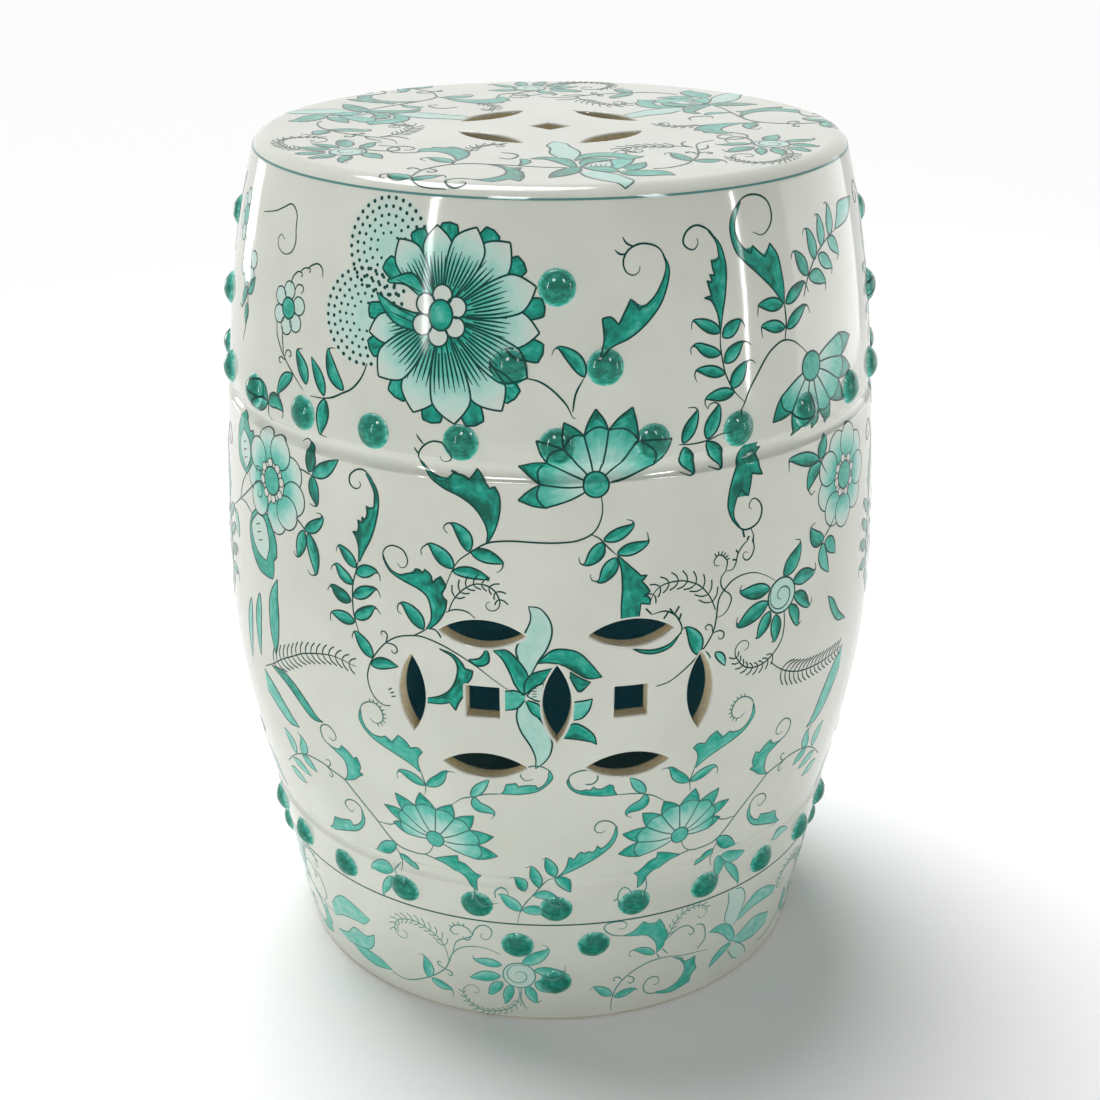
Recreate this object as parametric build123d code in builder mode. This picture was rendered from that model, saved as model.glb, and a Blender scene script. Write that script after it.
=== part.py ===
"""Glazed ceramic garden stool: a barrel-shaped drum of luted clay sections.

Millimetres, +Z up, origin on the floor at the centre of the foot. The front,
with one pair of pierced coins, faces -Y.
"""

import os
from math import cos, degrees, radians, sin

from build123d import *

# Heights of the clay sections, from the floor up
foot_wall_height = 97.0
belly_wall_height = 231.5
shoulder_wall_height = 116.5
seat_thickness = 12.0

# Widest radius of the drum, how far its other stations draw in from it, and its lean at both ends
belly_radius = 179.2
belly_rise = 129.0  # above the lower seam
hip_inset = 3.2
hip_rise = 73.0  # above the lower seam
lower_seam_inset = 16.8
foot_inset = 35.2
upper_seam_inset = 5.5
shoulder_inset = 23.3  # under the seat
foot_flare = 12.4  # degrees outwards at the floor
shoulder_lean = 15.0  # degrees inwards under the seat

# Clay thickness, in-turned foot rim and rounded edges
wall_thickness = 8.0
foot_rim_width = 24.0
foot_rim_thickness = 9.0
foot_edge_round = 2.5
shoulder_round = 9.5

# Turned grooves that hide the two seams of the wall
groove_width = 9.0
groove_depth = 2.6

# Pair of cash coins pierced through the belly, front and back
coin_rise = 114.0  # centre above the lower seam
coin_radius = 36.5  # centre of the square to the centre of a petal slot
petal_length = 42.0
petal_width = 14.0
coin_square = 16.5

# Cash coin pierced through the seat, turned by an eighth of a turn
seat_coin_radius = 43.0
seat_petal_length = 46.0
seat_petal_width = 14.0
seat_coin_square = 14.5

# Domed bosses like the nail heads of a drum
boss_diameter = 17.2
boss_height = 4.2
bosses_per_row = 24
upper_row_rise = 13.0  # above the upper seam
upper_apex_drop = 31.2  # below the seat
lower_row_drop = 15.5  # below the lower seam
lower_apex_rise = 29.0  # above the floor

# Worked out from the values above
foot_radius = belly_radius - foot_inset
lower_seam_radius = belly_radius - lower_seam_inset
hip_radius = belly_radius - hip_inset
upper_seam_radius = belly_radius - upper_seam_inset
shoulder_radius = belly_radius - shoulder_inset
lower_seam = foot_wall_height
upper_seam = lower_seam + belly_wall_height
seat_seam = upper_seam + shoulder_wall_height
stool_height = seat_seam + seat_thickness
coin_height = lower_seam + coin_rise
coin_turn = degrees(coin_radius / belly_radius)
upper_row = upper_seam + upper_row_rise
upper_apex = seat_seam - upper_apex_drop
upper_pair = (upper_row + upper_apex) / 2
lower_row = lower_seam - lower_row_drop
lower_apex = lower_apex_rise
lower_pair = (lower_row + lower_apex) / 2
row_turn = 360 / bosses_per_row
side_turns = {"front": 0, "right": 90, "back": 180, "left": 270}

os.makedirs("parts", exist_ok=True)


def drum_curve(inset):
    """Radius against height of the drum, the given distance inside its outer face."""
    stations = [
        (foot_radius - inset, 0),
        (lower_seam_radius - inset, lower_seam),
        (hip_radius - inset, lower_seam + hip_rise),
        (belly_radius - inset, lower_seam + belly_rise),
        (upper_seam_radius - inset, upper_seam),
        (shoulder_radius - inset, seat_seam),
    ]
    flare = radians(foot_flare)
    lean = radians(shoulder_lean)
    ends = [(sin(flare), cos(flare)), (-sin(lean), cos(lean))]
    with BuildLine() as curve:
        Spline(*stations, tangents=ends)
    return curve.line


# Whole wall in section: outer curve, inner curve, and both grooves cut in
outer_curve = drum_curve(0)
inner_curve = drum_curve(wall_thickness)
groove_radius = (groove_width**2 / 4 + groove_depth**2) / (2 * groove_depth)
with BuildSketch(Plane.XZ) as wall_profile:
    with BuildLine():
        add(outer_curve)
        add(inner_curve)
        Line((foot_radius, 0), (foot_radius - wall_thickness, 0))
        Line((shoulder_radius, seat_seam), (shoulder_radius - wall_thickness, seat_seam))
    make_face()
    with Locations(
        (lower_seam_radius - groove_depth + groove_radius, lower_seam),
        (upper_seam_radius - groove_depth + groove_radius, upper_seam),
    ):
        Circle(groove_radius, mode=Mode.SUBTRACT)


def petal(length, width):
    """Pointed oval between two equal arcs, lying along its own X."""
    with BuildSketch() as oval:
        with BuildLine():
            ThreePointArc((-length / 2, 0), (0, width / 2), (length / 2, 0))
            ThreePointArc((length / 2, 0), (0, -width / 2), (-length / 2, 0))
        make_face()
    return oval.sketch


def wall_plane(turn, height):
    """Plane outside the belly that faces outwards, the given angle round from the front."""
    turn = radians(turn)
    reach = belly_radius + wall_thickness
    return Plane(
        origin=(reach * sin(turn), -reach * cos(turn), height),
        x_dir=(cos(turn), sin(turn), 0),
        z_dir=(sin(turn), -cos(turn), 0),
    )


# Foot wall: the lower ring, thickened inwards to the rim that stands on the floor
with BuildPart() as foot_wall:
    with BuildSketch(Plane.XZ) as foot_profile:
        add(wall_profile.sketch_local)
        with Locations((foot_radius, lower_seam / 2)):
            Rectangle(2 * foot_radius, lower_seam, mode=Mode.INTERSECT)
        with Locations((foot_radius - wall_thickness / 2, 0)):
            Rectangle(foot_rim_width - wall_thickness / 2, foot_rim_thickness, align=(Align.MAX, Align.MIN))
        floor_edge = foot_profile.vertices().sort_by_distance((foot_radius, 0))[0]
        fillet(floor_edge, foot_edge_round)
    revolve(axis=Axis.Z)

# Belly wall: the middle ring, with a pair of coins cut through it at front and back
level_petal = petal(petal_length, petal_width)
upright_petal = level_petal.rotate(Axis.Z, 90)
coin_depth = belly_radius / 2  # well into the hollow
with BuildSketch() as square_hole:
    Rectangle(coin_square, coin_square)
coin_holes = []
for coin_side in (-1, 1):
    coin_holes.append((coin_side * coin_turn, 0, square_hole.sketch))
    coin_holes.append((coin_side * coin_turn, coin_radius, level_petal))
    coin_holes.append((coin_side * coin_turn, -coin_radius, level_petal))
    coin_holes.append((coin_side * 2 * coin_turn, 0, upright_petal))
coin_holes.append((0, 0, upright_petal))

with BuildPart() as belly_wall:
    with BuildSketch(Plane.XZ):
        add(wall_profile.sketch_local)
        with Locations((belly_radius, (lower_seam + upper_seam) / 2)):
            Rectangle(2 * belly_radius, belly_wall_height, mode=Mode.INTERSECT)
    revolve(axis=Axis.Z)
    for face_turn in (side_turns["front"], side_turns["back"]):
        for hole_turn, hole_rise, hole_shape in coin_holes:
            with BuildSketch(wall_plane(face_turn + hole_turn, coin_height + hole_rise)):
                add(hole_shape)
            extrude(amount=-coin_depth, mode=Mode.SUBTRACT)

# Shoulder wall: the upper ring, up to the seat
with BuildPart() as shoulder_wall:
    with BuildSketch(Plane.XZ):
        add(wall_profile.sketch_local)
        with Locations((belly_radius, (upper_seam + seat_seam) / 2)):
            Rectangle(2 * belly_radius, shoulder_wall_height, mode=Mode.INTERSECT)
    revolve(axis=Axis.Z)

# Seat top: a slab that stands on the shoulder and carries its curve on into a round rim
rim_radius = shoulder_radius - seat_thickness * sin(radians(shoulder_lean)) / cos(radians(shoulder_lean))
with BuildPart() as seat_top:
    with BuildSketch(Plane.XZ) as seat_profile:
        with BuildLine():
            Polyline(
                (0, seat_seam),
                (shoulder_radius, seat_seam),
                (rim_radius, stool_height),
                (0, stool_height),
                close=True,
            )
        make_face()
        rim_edge = seat_profile.vertices().sort_by_distance((rim_radius, stool_height))[0]
        fillet(rim_edge, shoulder_round)
    revolve(axis=Axis.Z)
    with BuildSketch(Plane.XY.offset(stool_height)):
        Rectangle(seat_coin_square, seat_coin_square, rotation=45)
        with PolarLocations(seat_coin_radius, 4, start_angle=45):
            add(petal(seat_petal_length, seat_petal_width), rotation=90)
    extrude(amount=-seat_thickness, mode=Mode.SUBTRACT)


def front_point(height):
    """Point on the drum's front at the given height, and its direction outwards."""
    edge = outer_curve.edge()
    low = 0.0
    high = 1.0
    for _ in range(40):
        middle = (low + high) / 2
        if edge.position_at(middle).Y < height:
            low = middle
        else:
            high = middle
    point = edge.position_at(low)
    along = edge.tangent_at(low)
    return Vector(0, -point.X, point.Y), Vector(0, -along.Y, -along.X)


def front_boss(height, wall):
    """One domed boss on the front of a wall, its back pressed to the wall's curve."""
    middle, outwards = front_point(height)
    boss_radius = boss_diameter / 2
    boss_root = -wall_thickness / 2
    section = Plane(origin=middle, x_dir=(1, 0, 0), z_dir=(0, -outwards.Z, outwards.Y))
    with BuildPart() as boss:
        with BuildSketch(section):
            with BuildLine():
                TangentArc((0, boss_height), (boss_radius, 0), tangent=(1, 0))
                Polyline((boss_radius, 0), (boss_radius, boss_root), (0, boss_root), (0, boss_height))
            make_face()
        revolve(axis=Axis(middle, outwards))
        add(wall, mode=Mode.SUBTRACT)
    return boss.part


def boss_row(boss):
    """Full ring of like bosses round the drum."""
    with BuildPart() as row:
        with PolarLocations(0, bosses_per_row):
            add(boss)
    return row.part


def boss_triangle(turn, pair_boss, apex_boss):
    """Two bosses over the gaps of the row and one beyond them, on one side of the drum."""
    with BuildPart() as triangle:
        with PolarLocations(0, 2, start_angle=turn - row_turn / 2, angular_range=2 * row_turn):
            add(pair_boss)
        with PolarLocations(0, 1, start_angle=turn):
            add(apex_boss)
    return triangle.part


# Bosses: two full rows beside the grooves, and a triangle beyond each on four sides
upper_pair_boss = front_boss(upper_pair, shoulder_wall.part)
upper_apex_boss = front_boss(upper_apex, shoulder_wall.part)
lower_pair_boss = front_boss(lower_pair, foot_wall.part)
lower_apex_boss = front_boss(lower_apex, foot_wall.part)
pieces = {
    "seat_top": seat_top.part,
    "shoulder_wall": shoulder_wall.part,
    "belly_wall": belly_wall.part,
    "foot_wall": foot_wall.part,
    "upper_boss_row": boss_row(front_boss(upper_row, shoulder_wall.part)),
    "lower_boss_row": boss_row(front_boss(lower_row, foot_wall.part)),
}
for side, side_turn in side_turns.items():
    pieces[f"{side}_upper_bosses"] = boss_triangle(side_turn, upper_pair_boss, upper_apex_boss)
    pieces[f"{side}_lower_bosses"] = boss_triangle(side_turn, lower_pair_boss, lower_apex_boss)

for name, piece in pieces.items():
    piece.label = name
    export_step(piece, f"parts/{name}.step")
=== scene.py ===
"""Looks of a glazed ceramic garden stool: white stoneware, painted green flowers, green bosses."""

from math import atan2, cos, pi, radians, sin, tan

import bpy
import numpy as np
from mathutils import Matrix, Vector


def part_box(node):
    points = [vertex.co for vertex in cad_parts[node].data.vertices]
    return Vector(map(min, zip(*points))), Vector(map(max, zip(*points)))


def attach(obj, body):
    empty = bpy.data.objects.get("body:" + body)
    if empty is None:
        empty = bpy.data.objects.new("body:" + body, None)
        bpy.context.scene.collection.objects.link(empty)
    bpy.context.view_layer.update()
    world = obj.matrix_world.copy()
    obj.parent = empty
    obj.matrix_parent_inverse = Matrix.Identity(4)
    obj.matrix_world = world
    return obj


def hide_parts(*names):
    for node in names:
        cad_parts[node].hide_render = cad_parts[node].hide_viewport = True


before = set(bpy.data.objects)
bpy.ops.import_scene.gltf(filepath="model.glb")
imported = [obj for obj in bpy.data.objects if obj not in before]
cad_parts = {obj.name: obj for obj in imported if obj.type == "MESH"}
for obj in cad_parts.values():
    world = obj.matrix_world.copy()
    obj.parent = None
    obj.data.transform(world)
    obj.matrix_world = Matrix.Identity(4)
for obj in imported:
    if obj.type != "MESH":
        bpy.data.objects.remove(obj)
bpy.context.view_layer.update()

bpy.ops.object.select_all(action="DESELECT")

# Wall rings: three thrown rings of white stoneware, 8 mm thick, luted together at two
# turned grooves and glazed as one. Sizes are millimetres, heights from the floor.
mm = 0.001
lower_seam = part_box("belly_wall")[0].z / mm
upper_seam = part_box("belly_wall")[1].z / mm
seat_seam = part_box("seat_top")[0].z / mm
stool_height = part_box("seat_top")[1].z / mm
wall_thickness = 8.0
glaze_drop = 0.25  # glaze face below the solid's, so that the raised paint keeps inside it
station_heights = np.array([0, lower_seam, lower_seam + 73, lower_seam + 129, upper_seam, seat_seam])
station_radii = np.array([144.0, 162.4, 176.0, 179.2, 173.7, 155.9])
foot_angle = radians(12.4)
foot_flare = tan(foot_angle)
shoulder_lean = tan(radians(15.0))
groove_half = 4.5
lower_groove_depth = 1.6  # glaze fills the lower groove more than the upper one
upper_groove_depth = 2.2
grooves = [(lower_seam, station_radii[1], lower_groove_depth)]
grooves.append((upper_seam, station_radii[4], upper_groove_depth))
groove_softness = 0.35
groove_span = 7
groove_step = 0.5
wall_step = 5
wall_inside_points = 12
turn_steps = 288
crease = radians(40)


def drum_slopes():
    """Slope of the drum's curve at each station, smooth through all and leaning as given at both ends."""
    gaps = np.diff(station_heights)
    rises = np.diff(station_radii) / gaps
    rows = np.eye(len(station_heights))
    sums = np.zeros(len(station_heights))
    sums[0] = foot_flare
    sums[-1] = -shoulder_lean
    for i in range(1, len(gaps)):
        rows[i, i - 1:i + 2] = gaps[i], 2 * (gaps[i - 1] + gaps[i]), gaps[i - 1]
        sums[i] = 3 * (gaps[i] * rises[i - 1] + gaps[i - 1] * rises[i])
    return np.linalg.solve(rows, sums)


station_slopes = drum_slopes()


def drum_radius(height):
    """Radius of the glazed drum at each height, grooves included."""
    height = np.asarray(height, float)
    i = np.clip(np.searchsorted(station_heights, height, side="right") - 1, 0, len(station_heights) - 2)
    gap = station_heights[i + 1] - station_heights[i]
    t = (height - station_heights[i]) / gap
    radius = (
        station_radii[i] * (1 + 2 * t) * (1 - t) ** 2
        + station_radii[i + 1] * t**2 * (3 - 2 * t)
        + gap * (station_slopes[i] * t * (1 - t) ** 2 - station_slopes[i + 1] * t**2 * (1 - t))
    )
    far = 40
    for seam, seam_radius, depth in grooves:
        groove_radius = (groove_half**2 + depth**2) / (2 * depth)
        reach = np.clip(groove_radius**2 - (height - seam) ** 2, 0, None)
        cove = seam_radius - depth + groove_radius - np.sqrt(reach)
        near = np.where(reach > 0, np.clip((cove - radius) / groove_softness, -far, far), far)
        radius = radius - groove_softness * np.log1p(np.exp(-near))
    return radius - glaze_drop


def drum_normal(height):
    """Outward direction of the glazed drum at each height, as its radial and upright parts."""
    step = 0.05
    slope = (drum_radius(height + step) - drum_radius(height - step)) / (2 * step)
    length = np.sqrt(1 + slope**2)
    return 1 / length, -slope / length


def only(obj):
    """Selects one object and makes it active."""
    bpy.ops.object.select_all(action="DESELECT")
    obj.select_set(True)
    bpy.context.view_layer.objects.active = obj


def new_piece(name, points, edges, faces):
    """New object from points in metres."""
    mesh = bpy.data.meshes.new(name)
    mesh.from_pydata(points, edges, faces)
    piece = bpy.data.objects.new(name, mesh)
    bpy.context.collection.objects.link(piece)
    only(piece)
    return piece


def turned(name, outline, closed=True, steps=turn_steps):
    """Spins an outline of (radius, height) points round the drum's axis."""
    count = len(outline)
    edges = [(i, (i + 1) % count) for i in range(count if closed else count - 1)]
    piece = new_piece(name, [(r * mm, 0, z * mm) for r, z in outline], edges, [])
    bpy.ops.object.mode_set(mode="EDIT")
    bpy.ops.mesh.select_all(action="SELECT")
    bpy.ops.mesh.spin(steps=steps, angle=2 * pi, center=(0, 0, 0), axis=(0, 0, 1))
    bpy.ops.mesh.select_all(action="SELECT")
    bpy.ops.mesh.remove_doubles(threshold=1e-6)
    bpy.ops.mesh.normals_make_consistent(inside=False)
    bpy.ops.object.mode_set(mode="OBJECT")
    bpy.ops.object.shade_smooth_by_angle(angle=crease)
    return piece


def wall_heights(low, high):
    """Heights of the outline's points up a wall, close together in the grooves."""
    heights = list(np.linspace(low, high, int((high - low) / wall_step) + 2))
    count = int(2 * groove_span / groove_step) + 1
    for seam in (lower_seam, upper_seam):
        beside = np.linspace(seam - groove_span, seam + groove_span, count)
        heights += [z for z in beside if low <= z <= high]
    return sorted(set(round(z, 3) for z in heights))


def wall_outline(low, high):
    """Section of a wall ring: up its glazed outside and down its plain inside."""
    outside = [(float(drum_radius(z)), z) for z in wall_heights(low, high)]
    down = np.linspace(high, low, wall_inside_points)
    return outside + [(float(drum_radius(z)) - wall_thickness, z) for z in down]


def linear(hex_code):
    """Shader colour of an sRGB hex value."""
    parts = [int(hex_code[i:i + 2], 16) / 255 for i in (1, 3, 5)]
    return [p / 12.92 if p <= 0.04045 else ((p + 0.055) / 1.055) ** 2.4 for p in parts] + [1.0]


def add_node(finish, kind, inputs=None, **settings):
    """Adds a node to a material or world, sets it, and sets or links its inputs."""
    node = finish.node_tree.nodes.new(kind)
    for name, value in settings.items():
        setattr(node, name, value)
    for name, value in (inputs or {}).items():
        if isinstance(value, bpy.types.NodeSocket):
            finish.node_tree.links.new(value, node.inputs[name])
        else:
            node.inputs[name].default_value = value
    return node


def new_finish(name):
    """New material, and its shader."""
    finish = bpy.data.materials.new(name)
    finish.use_nodes = True
    return finish, finish.node_tree.nodes["Principled BSDF"]


def glossed(finish, sheen=0.5):
    """Clear gloss over a colour: hard and smooth, with a faint ripple that bends the reflections."""
    shader = finish.node_tree.nodes["Principled BSDF"]
    place = add_node(finish, "ShaderNodeTexCoord").outputs["Object"]
    ripple_size = 22.0
    ripple = add_node(finish, "ShaderNodeTexNoise", {"Vector": place, "Scale": 1 / (ripple_size * mm),
        "Detail": 1.0})
    bump = add_node(finish, "ShaderNodeBump", {"Height": ripple.outputs["Fac"], "Strength": 0.2,
        "Distance": 0.4 * mm})
    finish.node_tree.links.new(bump.outputs["Normal"], shader.inputs["Normal"])
    shader.inputs["Roughness"].default_value = 0.08
    shader.inputs["IOR"].default_value = 1.5
    shader.inputs["Specular IOR Level"].default_value = sheen


# Clear gloss glaze on white stoneware: a cool grey white that pools a little unevenly, with
# a few fine iron specks and a faint ripple that bends the reflections.
white_glaze, shader = new_finish("clear_gloss_glaze_on_white_stoneware")
place = add_node(white_glaze, "ShaderNodeTexCoord").outputs["Object"]
pool_size = 60.0
speck_gap = 9.0
pools = add_node(white_glaze, "ShaderNodeTexNoise", {"Vector": place, "Scale": 1 / (pool_size * mm),
    "Detail": 3.0})
tint = add_node(white_glaze, "ShaderNodeValToRGB", {"Fac": pools.outputs["Fac"]})
tint.color_ramp.elements[0].position = 0.3
tint.color_ramp.elements[0].color = linear("#CDD0C4")
tint.color_ramp.elements[1].position = 0.7
tint.color_ramp.elements[1].color = linear("#D8DBD0")
specks = add_node(white_glaze, "ShaderNodeTexVoronoi", {"Vector": place, "Scale": 1 / (speck_gap * mm)})
near_speck = add_node(white_glaze, "ShaderNodeMath", {0: specks.outputs["Distance"], 1: 0.028},
    operation="LESS_THAN")
seldom = add_node(white_glaze, "ShaderNodeSeparateColor", {"Color": specks.outputs["Color"]})
chosen = add_node(white_glaze, "ShaderNodeMath", {0: seldom.outputs["Red"], 1: 0.14},
    operation="LESS_THAN")
speck = add_node(white_glaze, "ShaderNodeMath", {0: near_speck.outputs[0], 1: chosen.outputs[0]},
    operation="MULTIPLY")
faint = add_node(white_glaze, "ShaderNodeMath", {0: speck.outputs[0], 1: 0.6}, operation="MULTIPLY")
glaze_colour = add_node(white_glaze, "ShaderNodeMix", {"Factor": faint.outputs[0],
    "A": tint.outputs["Color"], "B": linear("#8E8A7C")}, data_type="RGBA")
white_glaze.node_tree.links.new(glaze_colour.outputs["Result"], shader.inputs["Base Color"])
glossed(white_glaze)

# Raw stoneware, where the glaze was wiped off: matt tan with a gritty grain.
raw_clay, shader = new_finish("raw_fired_stoneware")
place = add_node(raw_clay, "ShaderNodeTexCoord").outputs["Object"]
grit_size = 1.6  # coarser than real grit, so that it shows
grit = add_node(raw_clay, "ShaderNodeTexNoise", {"Vector": place, "Scale": 1 / (grit_size * mm),
    "Detail": 4.0})
tint = add_node(raw_clay, "ShaderNodeValToRGB", {"Fac": grit.outputs["Fac"]})
tint.color_ramp.elements[0].position = 0.35
tint.color_ramp.elements[0].color = linear("#D8C9A2")
tint.color_ramp.elements[1].position = 0.7
tint.color_ramp.elements[1].color = linear("#F0E4C4")
raw_clay.node_tree.links.new(tint.outputs["Color"], shader.inputs["Base Color"])
bump = add_node(raw_clay, "ShaderNodeBump", {"Height": grit.outputs["Fac"], "Strength": 0.3,
    "Distance": 0.3 * mm})
raw_clay.node_tree.links.new(bump.outputs["Normal"], shader.inputs["Normal"])
shader.inputs["Roughness"].default_value = 0.85

# Slip brushed on inside the drum: a pale, matt blue green that looks navy in the shade in there.
liner_slip, shader = new_finish("blue_green_slip")
place = add_node(liner_slip, "ShaderNodeTexCoord").outputs["Object"]
brush_size = 18.0
brushed = add_node(liner_slip, "ShaderNodeTexNoise", {"Vector": place, "Scale": 1 / (brush_size * mm),
    "Detail": 4.0})
tint = add_node(liner_slip, "ShaderNodeValToRGB", {"Fac": brushed.outputs["Fac"]})
tint.color_ramp.elements[0].position = 0.3
tint.color_ramp.elements[0].color = linear("#9DE9F8")
tint.color_ramp.elements[1].position = 0.7
tint.color_ramp.elements[1].color = linear("#B2F2FD")
liner_slip.node_tree.links.new(tint.outputs["Color"], shader.inputs["Base Color"])
shader.inputs["Roughness"].default_value = 0.6

# Piercings: cash coins cut through the soft clay, so each hole has a soft glazed lip and
# a raw wall behind it. Each is kept as points and outward directions round its outline.
lip_round = 1.2
lip_steps = 7
liner_lap = 0.3
liner_front = 0.04
liner_back = 0.1
cutter_overrun = 6
skin_gap = 0.03
bare_foot = 0.6
coin_height = lower_seam + 114
coin_radius = 36.5
coin_turn = coin_radius / station_radii[3]


def petal_slot(length, width, turn=0.0):
    """Pointed oval between two arcs, its tips swept round."""
    reach = (length**2 + width**2) / (4 * width)
    half = np.arcsin(length / 2 / reach)
    points = []
    for side in (0, pi):
        for angle in np.linspace(half - pi / 2, pi / 2 - half, 7):
            points.append((length / 2 * cos(side), 0, cos(angle + side), sin(angle + side)))
        for angle in np.linspace(pi / 2 - half, pi / 2 + half, 25)[1:-1]:
            way = np.array([cos(angle), sin(angle)])
            spot = reach * way + (0, width / 2 - reach)
            points.append((*(spot * cos(side)), *(way * cos(side))))
    return turned_outline(points, turn)


def square_hole(width, turn=0.0):
    """Square, its corners swept round."""
    points = []
    for corner in range(4):
        start = pi / 4 + corner * pi / 2
        spot = np.array([cos(start), sin(start)]) * width / 2**0.5
        for angle in np.linspace(start - pi / 4, start + pi / 4, 5):
            points.append((*spot, cos(angle), sin(angle)))
        way = np.array([cos(start + pi / 4), sin(start + pi / 4)])
        along = np.array([-way[1], way[0]])
        for share in np.linspace(0, width, 8)[1:-1]:
            points.append((*(spot + along * share), *way))
    return turned_outline(points, turn)


def turned_outline(points, turn):
    """The outline turned in its own plane."""
    points = np.array(points)
    spin = np.array([[cos(turn), sin(turn)], [-sin(turn), cos(turn)]])
    return points[:, :2] @ spin, points[:, 2:] @ spin


level_slot = petal_slot(42.0, 14.0)
upright_slot = petal_slot(42.0, 14.0, pi / 2)
coin_square = square_hole(16.5)
wall_holes = []
for face_turn in (0, pi):
    wall_holes.append((face_turn, coin_height, upright_slot))
    for hand in (-1, 1):
        wall_holes.append((face_turn + hand * coin_turn, coin_height, coin_square))
        wall_holes.append((face_turn + hand * coin_turn, coin_height + coin_radius, level_slot))
        wall_holes.append((face_turn + hand * coin_turn, coin_height - coin_radius, level_slot))
        wall_holes.append((face_turn + hand * 2 * coin_turn, coin_height, upright_slot))


def into_wall(hole, offset, depth):
    """Points of a hole's outline, moved outwards by offset and along its axis to a depth."""
    turn, height, (points, ways) = hole
    across, up = (points + offset * ways).T
    out = np.sqrt(drum_radius(height + up) ** 2 - across**2) - depth
    return np.stack([across * cos(turn) + out * sin(turn), across * sin(turn) - out * cos(turn),
        height + up], axis=1)


def into_seat(hole, offset, depth):
    """The same on the flat seat."""
    (x, y), (points, ways) = hole
    spots = points + offset * ways
    level = np.full(len(spots), stool_height - glaze_drop - depth)
    return np.stack([x + spots[:, 0], y + spots[:, 1], level], axis=1)


def ring_of(name, rows, closed):
    """Mesh between rows of points that each go once round a hole; unclosed, both ends are capped."""
    count = len(rows[0])
    points = [tuple(p * mm) for row in rows for p in row]
    faces = []
    for i in range(len(rows) if closed else len(rows) - 1):
        low = i * count
        high = (i + 1) % len(rows) * count
        for j in range(count):
            beside = (j + 1) % count
            faces.append((low + j, low + beside, high + beside, high + j))
    if not closed:
        faces += [tuple(range(count))[::-1], tuple(range((len(rows) - 1) * count, len(rows) * count))]
    piece = new_piece(name, points, [], faces)
    bpy.ops.object.mode_set(mode="EDIT")
    bpy.ops.mesh.select_all(action="SELECT")
    bpy.ops.mesh.normals_make_consistent(inside=False)
    bpy.ops.object.mode_set(mode="OBJECT")
    return piece


def joined(pieces):
    """One object from several."""
    only(pieces[0])
    for piece in pieces:
        piece.select_set(True)
    bpy.ops.object.join()
    return pieces[0]


def pierced(wall, holes, place, depth):
    """Cuts the holes through a wall and lines each with its glazed lip and raw clay."""
    ends = (-cutter_overrun, depth + cutter_overrun)
    plugs = [[place(hole, lip_round, d) for d in ends] for hole in holes]
    cutter = joined([ring_of("cutter", plug, False) for plug in plugs])
    only(wall)
    bpy.ops.object.modifier_add(type="BOOLEAN")
    cut = wall.modifiers[-1]
    cut.object = cutter
    cut.solver = "EXACT"
    bpy.ops.object.modifier_apply(modifier=cut.name)
    bpy.data.objects.remove(cutter)
    liners = []
    for hole in holes:
        steps = np.linspace(0, pi / 2, lip_steps)
        rows = [place(hole, lip_round + liner_lap, liner_front)]
        rows += [place(hole, lip_round * (1 - sin(t)), lip_round * (1 - cos(t))) for t in steps]
        rows += [place(hole, offset, depth - liner_back) for offset in (0, lip_round + liner_lap)]
        liner = ring_of("liner", rows, True)
        count = len(rows[0])
        liner.data.materials.append(white_glaze)
        liner.data.materials.append(raw_clay)
        for face in liner.data.polygons:
            face.material_index = 0 if face.index < lip_steps * count else 1
        liners.append(liner)
    return joined([wall] + liners)


def follow_drum(wall):
    """Shades the outer skin by the drum's true curve, whatever way its faces are cut."""
    only(wall)
    bpy.ops.object.shade_smooth_by_angle(angle=crease)
    mesh = wall.data
    points = np.empty(len(mesh.vertices) * 3)
    mesh.vertices.foreach_get("co", points)
    points = points.reshape(-1, 3) / mm
    radius = np.hypot(points[:, 0], points[:, 1])
    height = np.clip(points[:, 2], 1.0, seat_seam)
    skin = np.abs(radius - drum_radius(height)) < skin_gap
    out, up = drum_normal(height)
    true = np.stack([points[:, 0] / radius * out, points[:, 1] / radius * out, up], axis=1)
    normals = np.zeros((len(mesh.loops), 3))
    for face in mesh.polygons:
        for corner, vertex in zip(face.loop_indices, face.vertices):
            if skin[vertex] and np.dot(face.normal, true[vertex]) > 0.7:
                normals[corner] = true[vertex]
    mesh.normals_split_custom_set([tuple(n) for n in normals])


def glazed_outside(wall):
    """White glaze on what faces outwards, slip within and raw clay underneath."""
    wall.data.materials.append(white_glaze)
    wall.data.materials.append(raw_clay)
    wall.data.materials.append(liner_slip)
    for face in wall.data.polygons:
        outwards = Vector((face.center.x, face.center.y, 0)).dot(face.normal)
        within = 2 if outwards < 0 and face.normal.z < 0.5 else 0
        face.material_index = 1 if face.center.z < bare_foot * mm else within


shoulder_wall = turned("shoulder_wall_ring", wall_outline(upper_seam, seat_seam))
glazed_outside(shoulder_wall)
follow_drum(shoulder_wall)

belly_wall = turned("belly_wall_ring", wall_outline(lower_seam, upper_seam))
glazed_outside(belly_wall)
belly_wall = pierced(belly_wall, wall_holes, into_wall, wall_thickness)
follow_drum(belly_wall)

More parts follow.
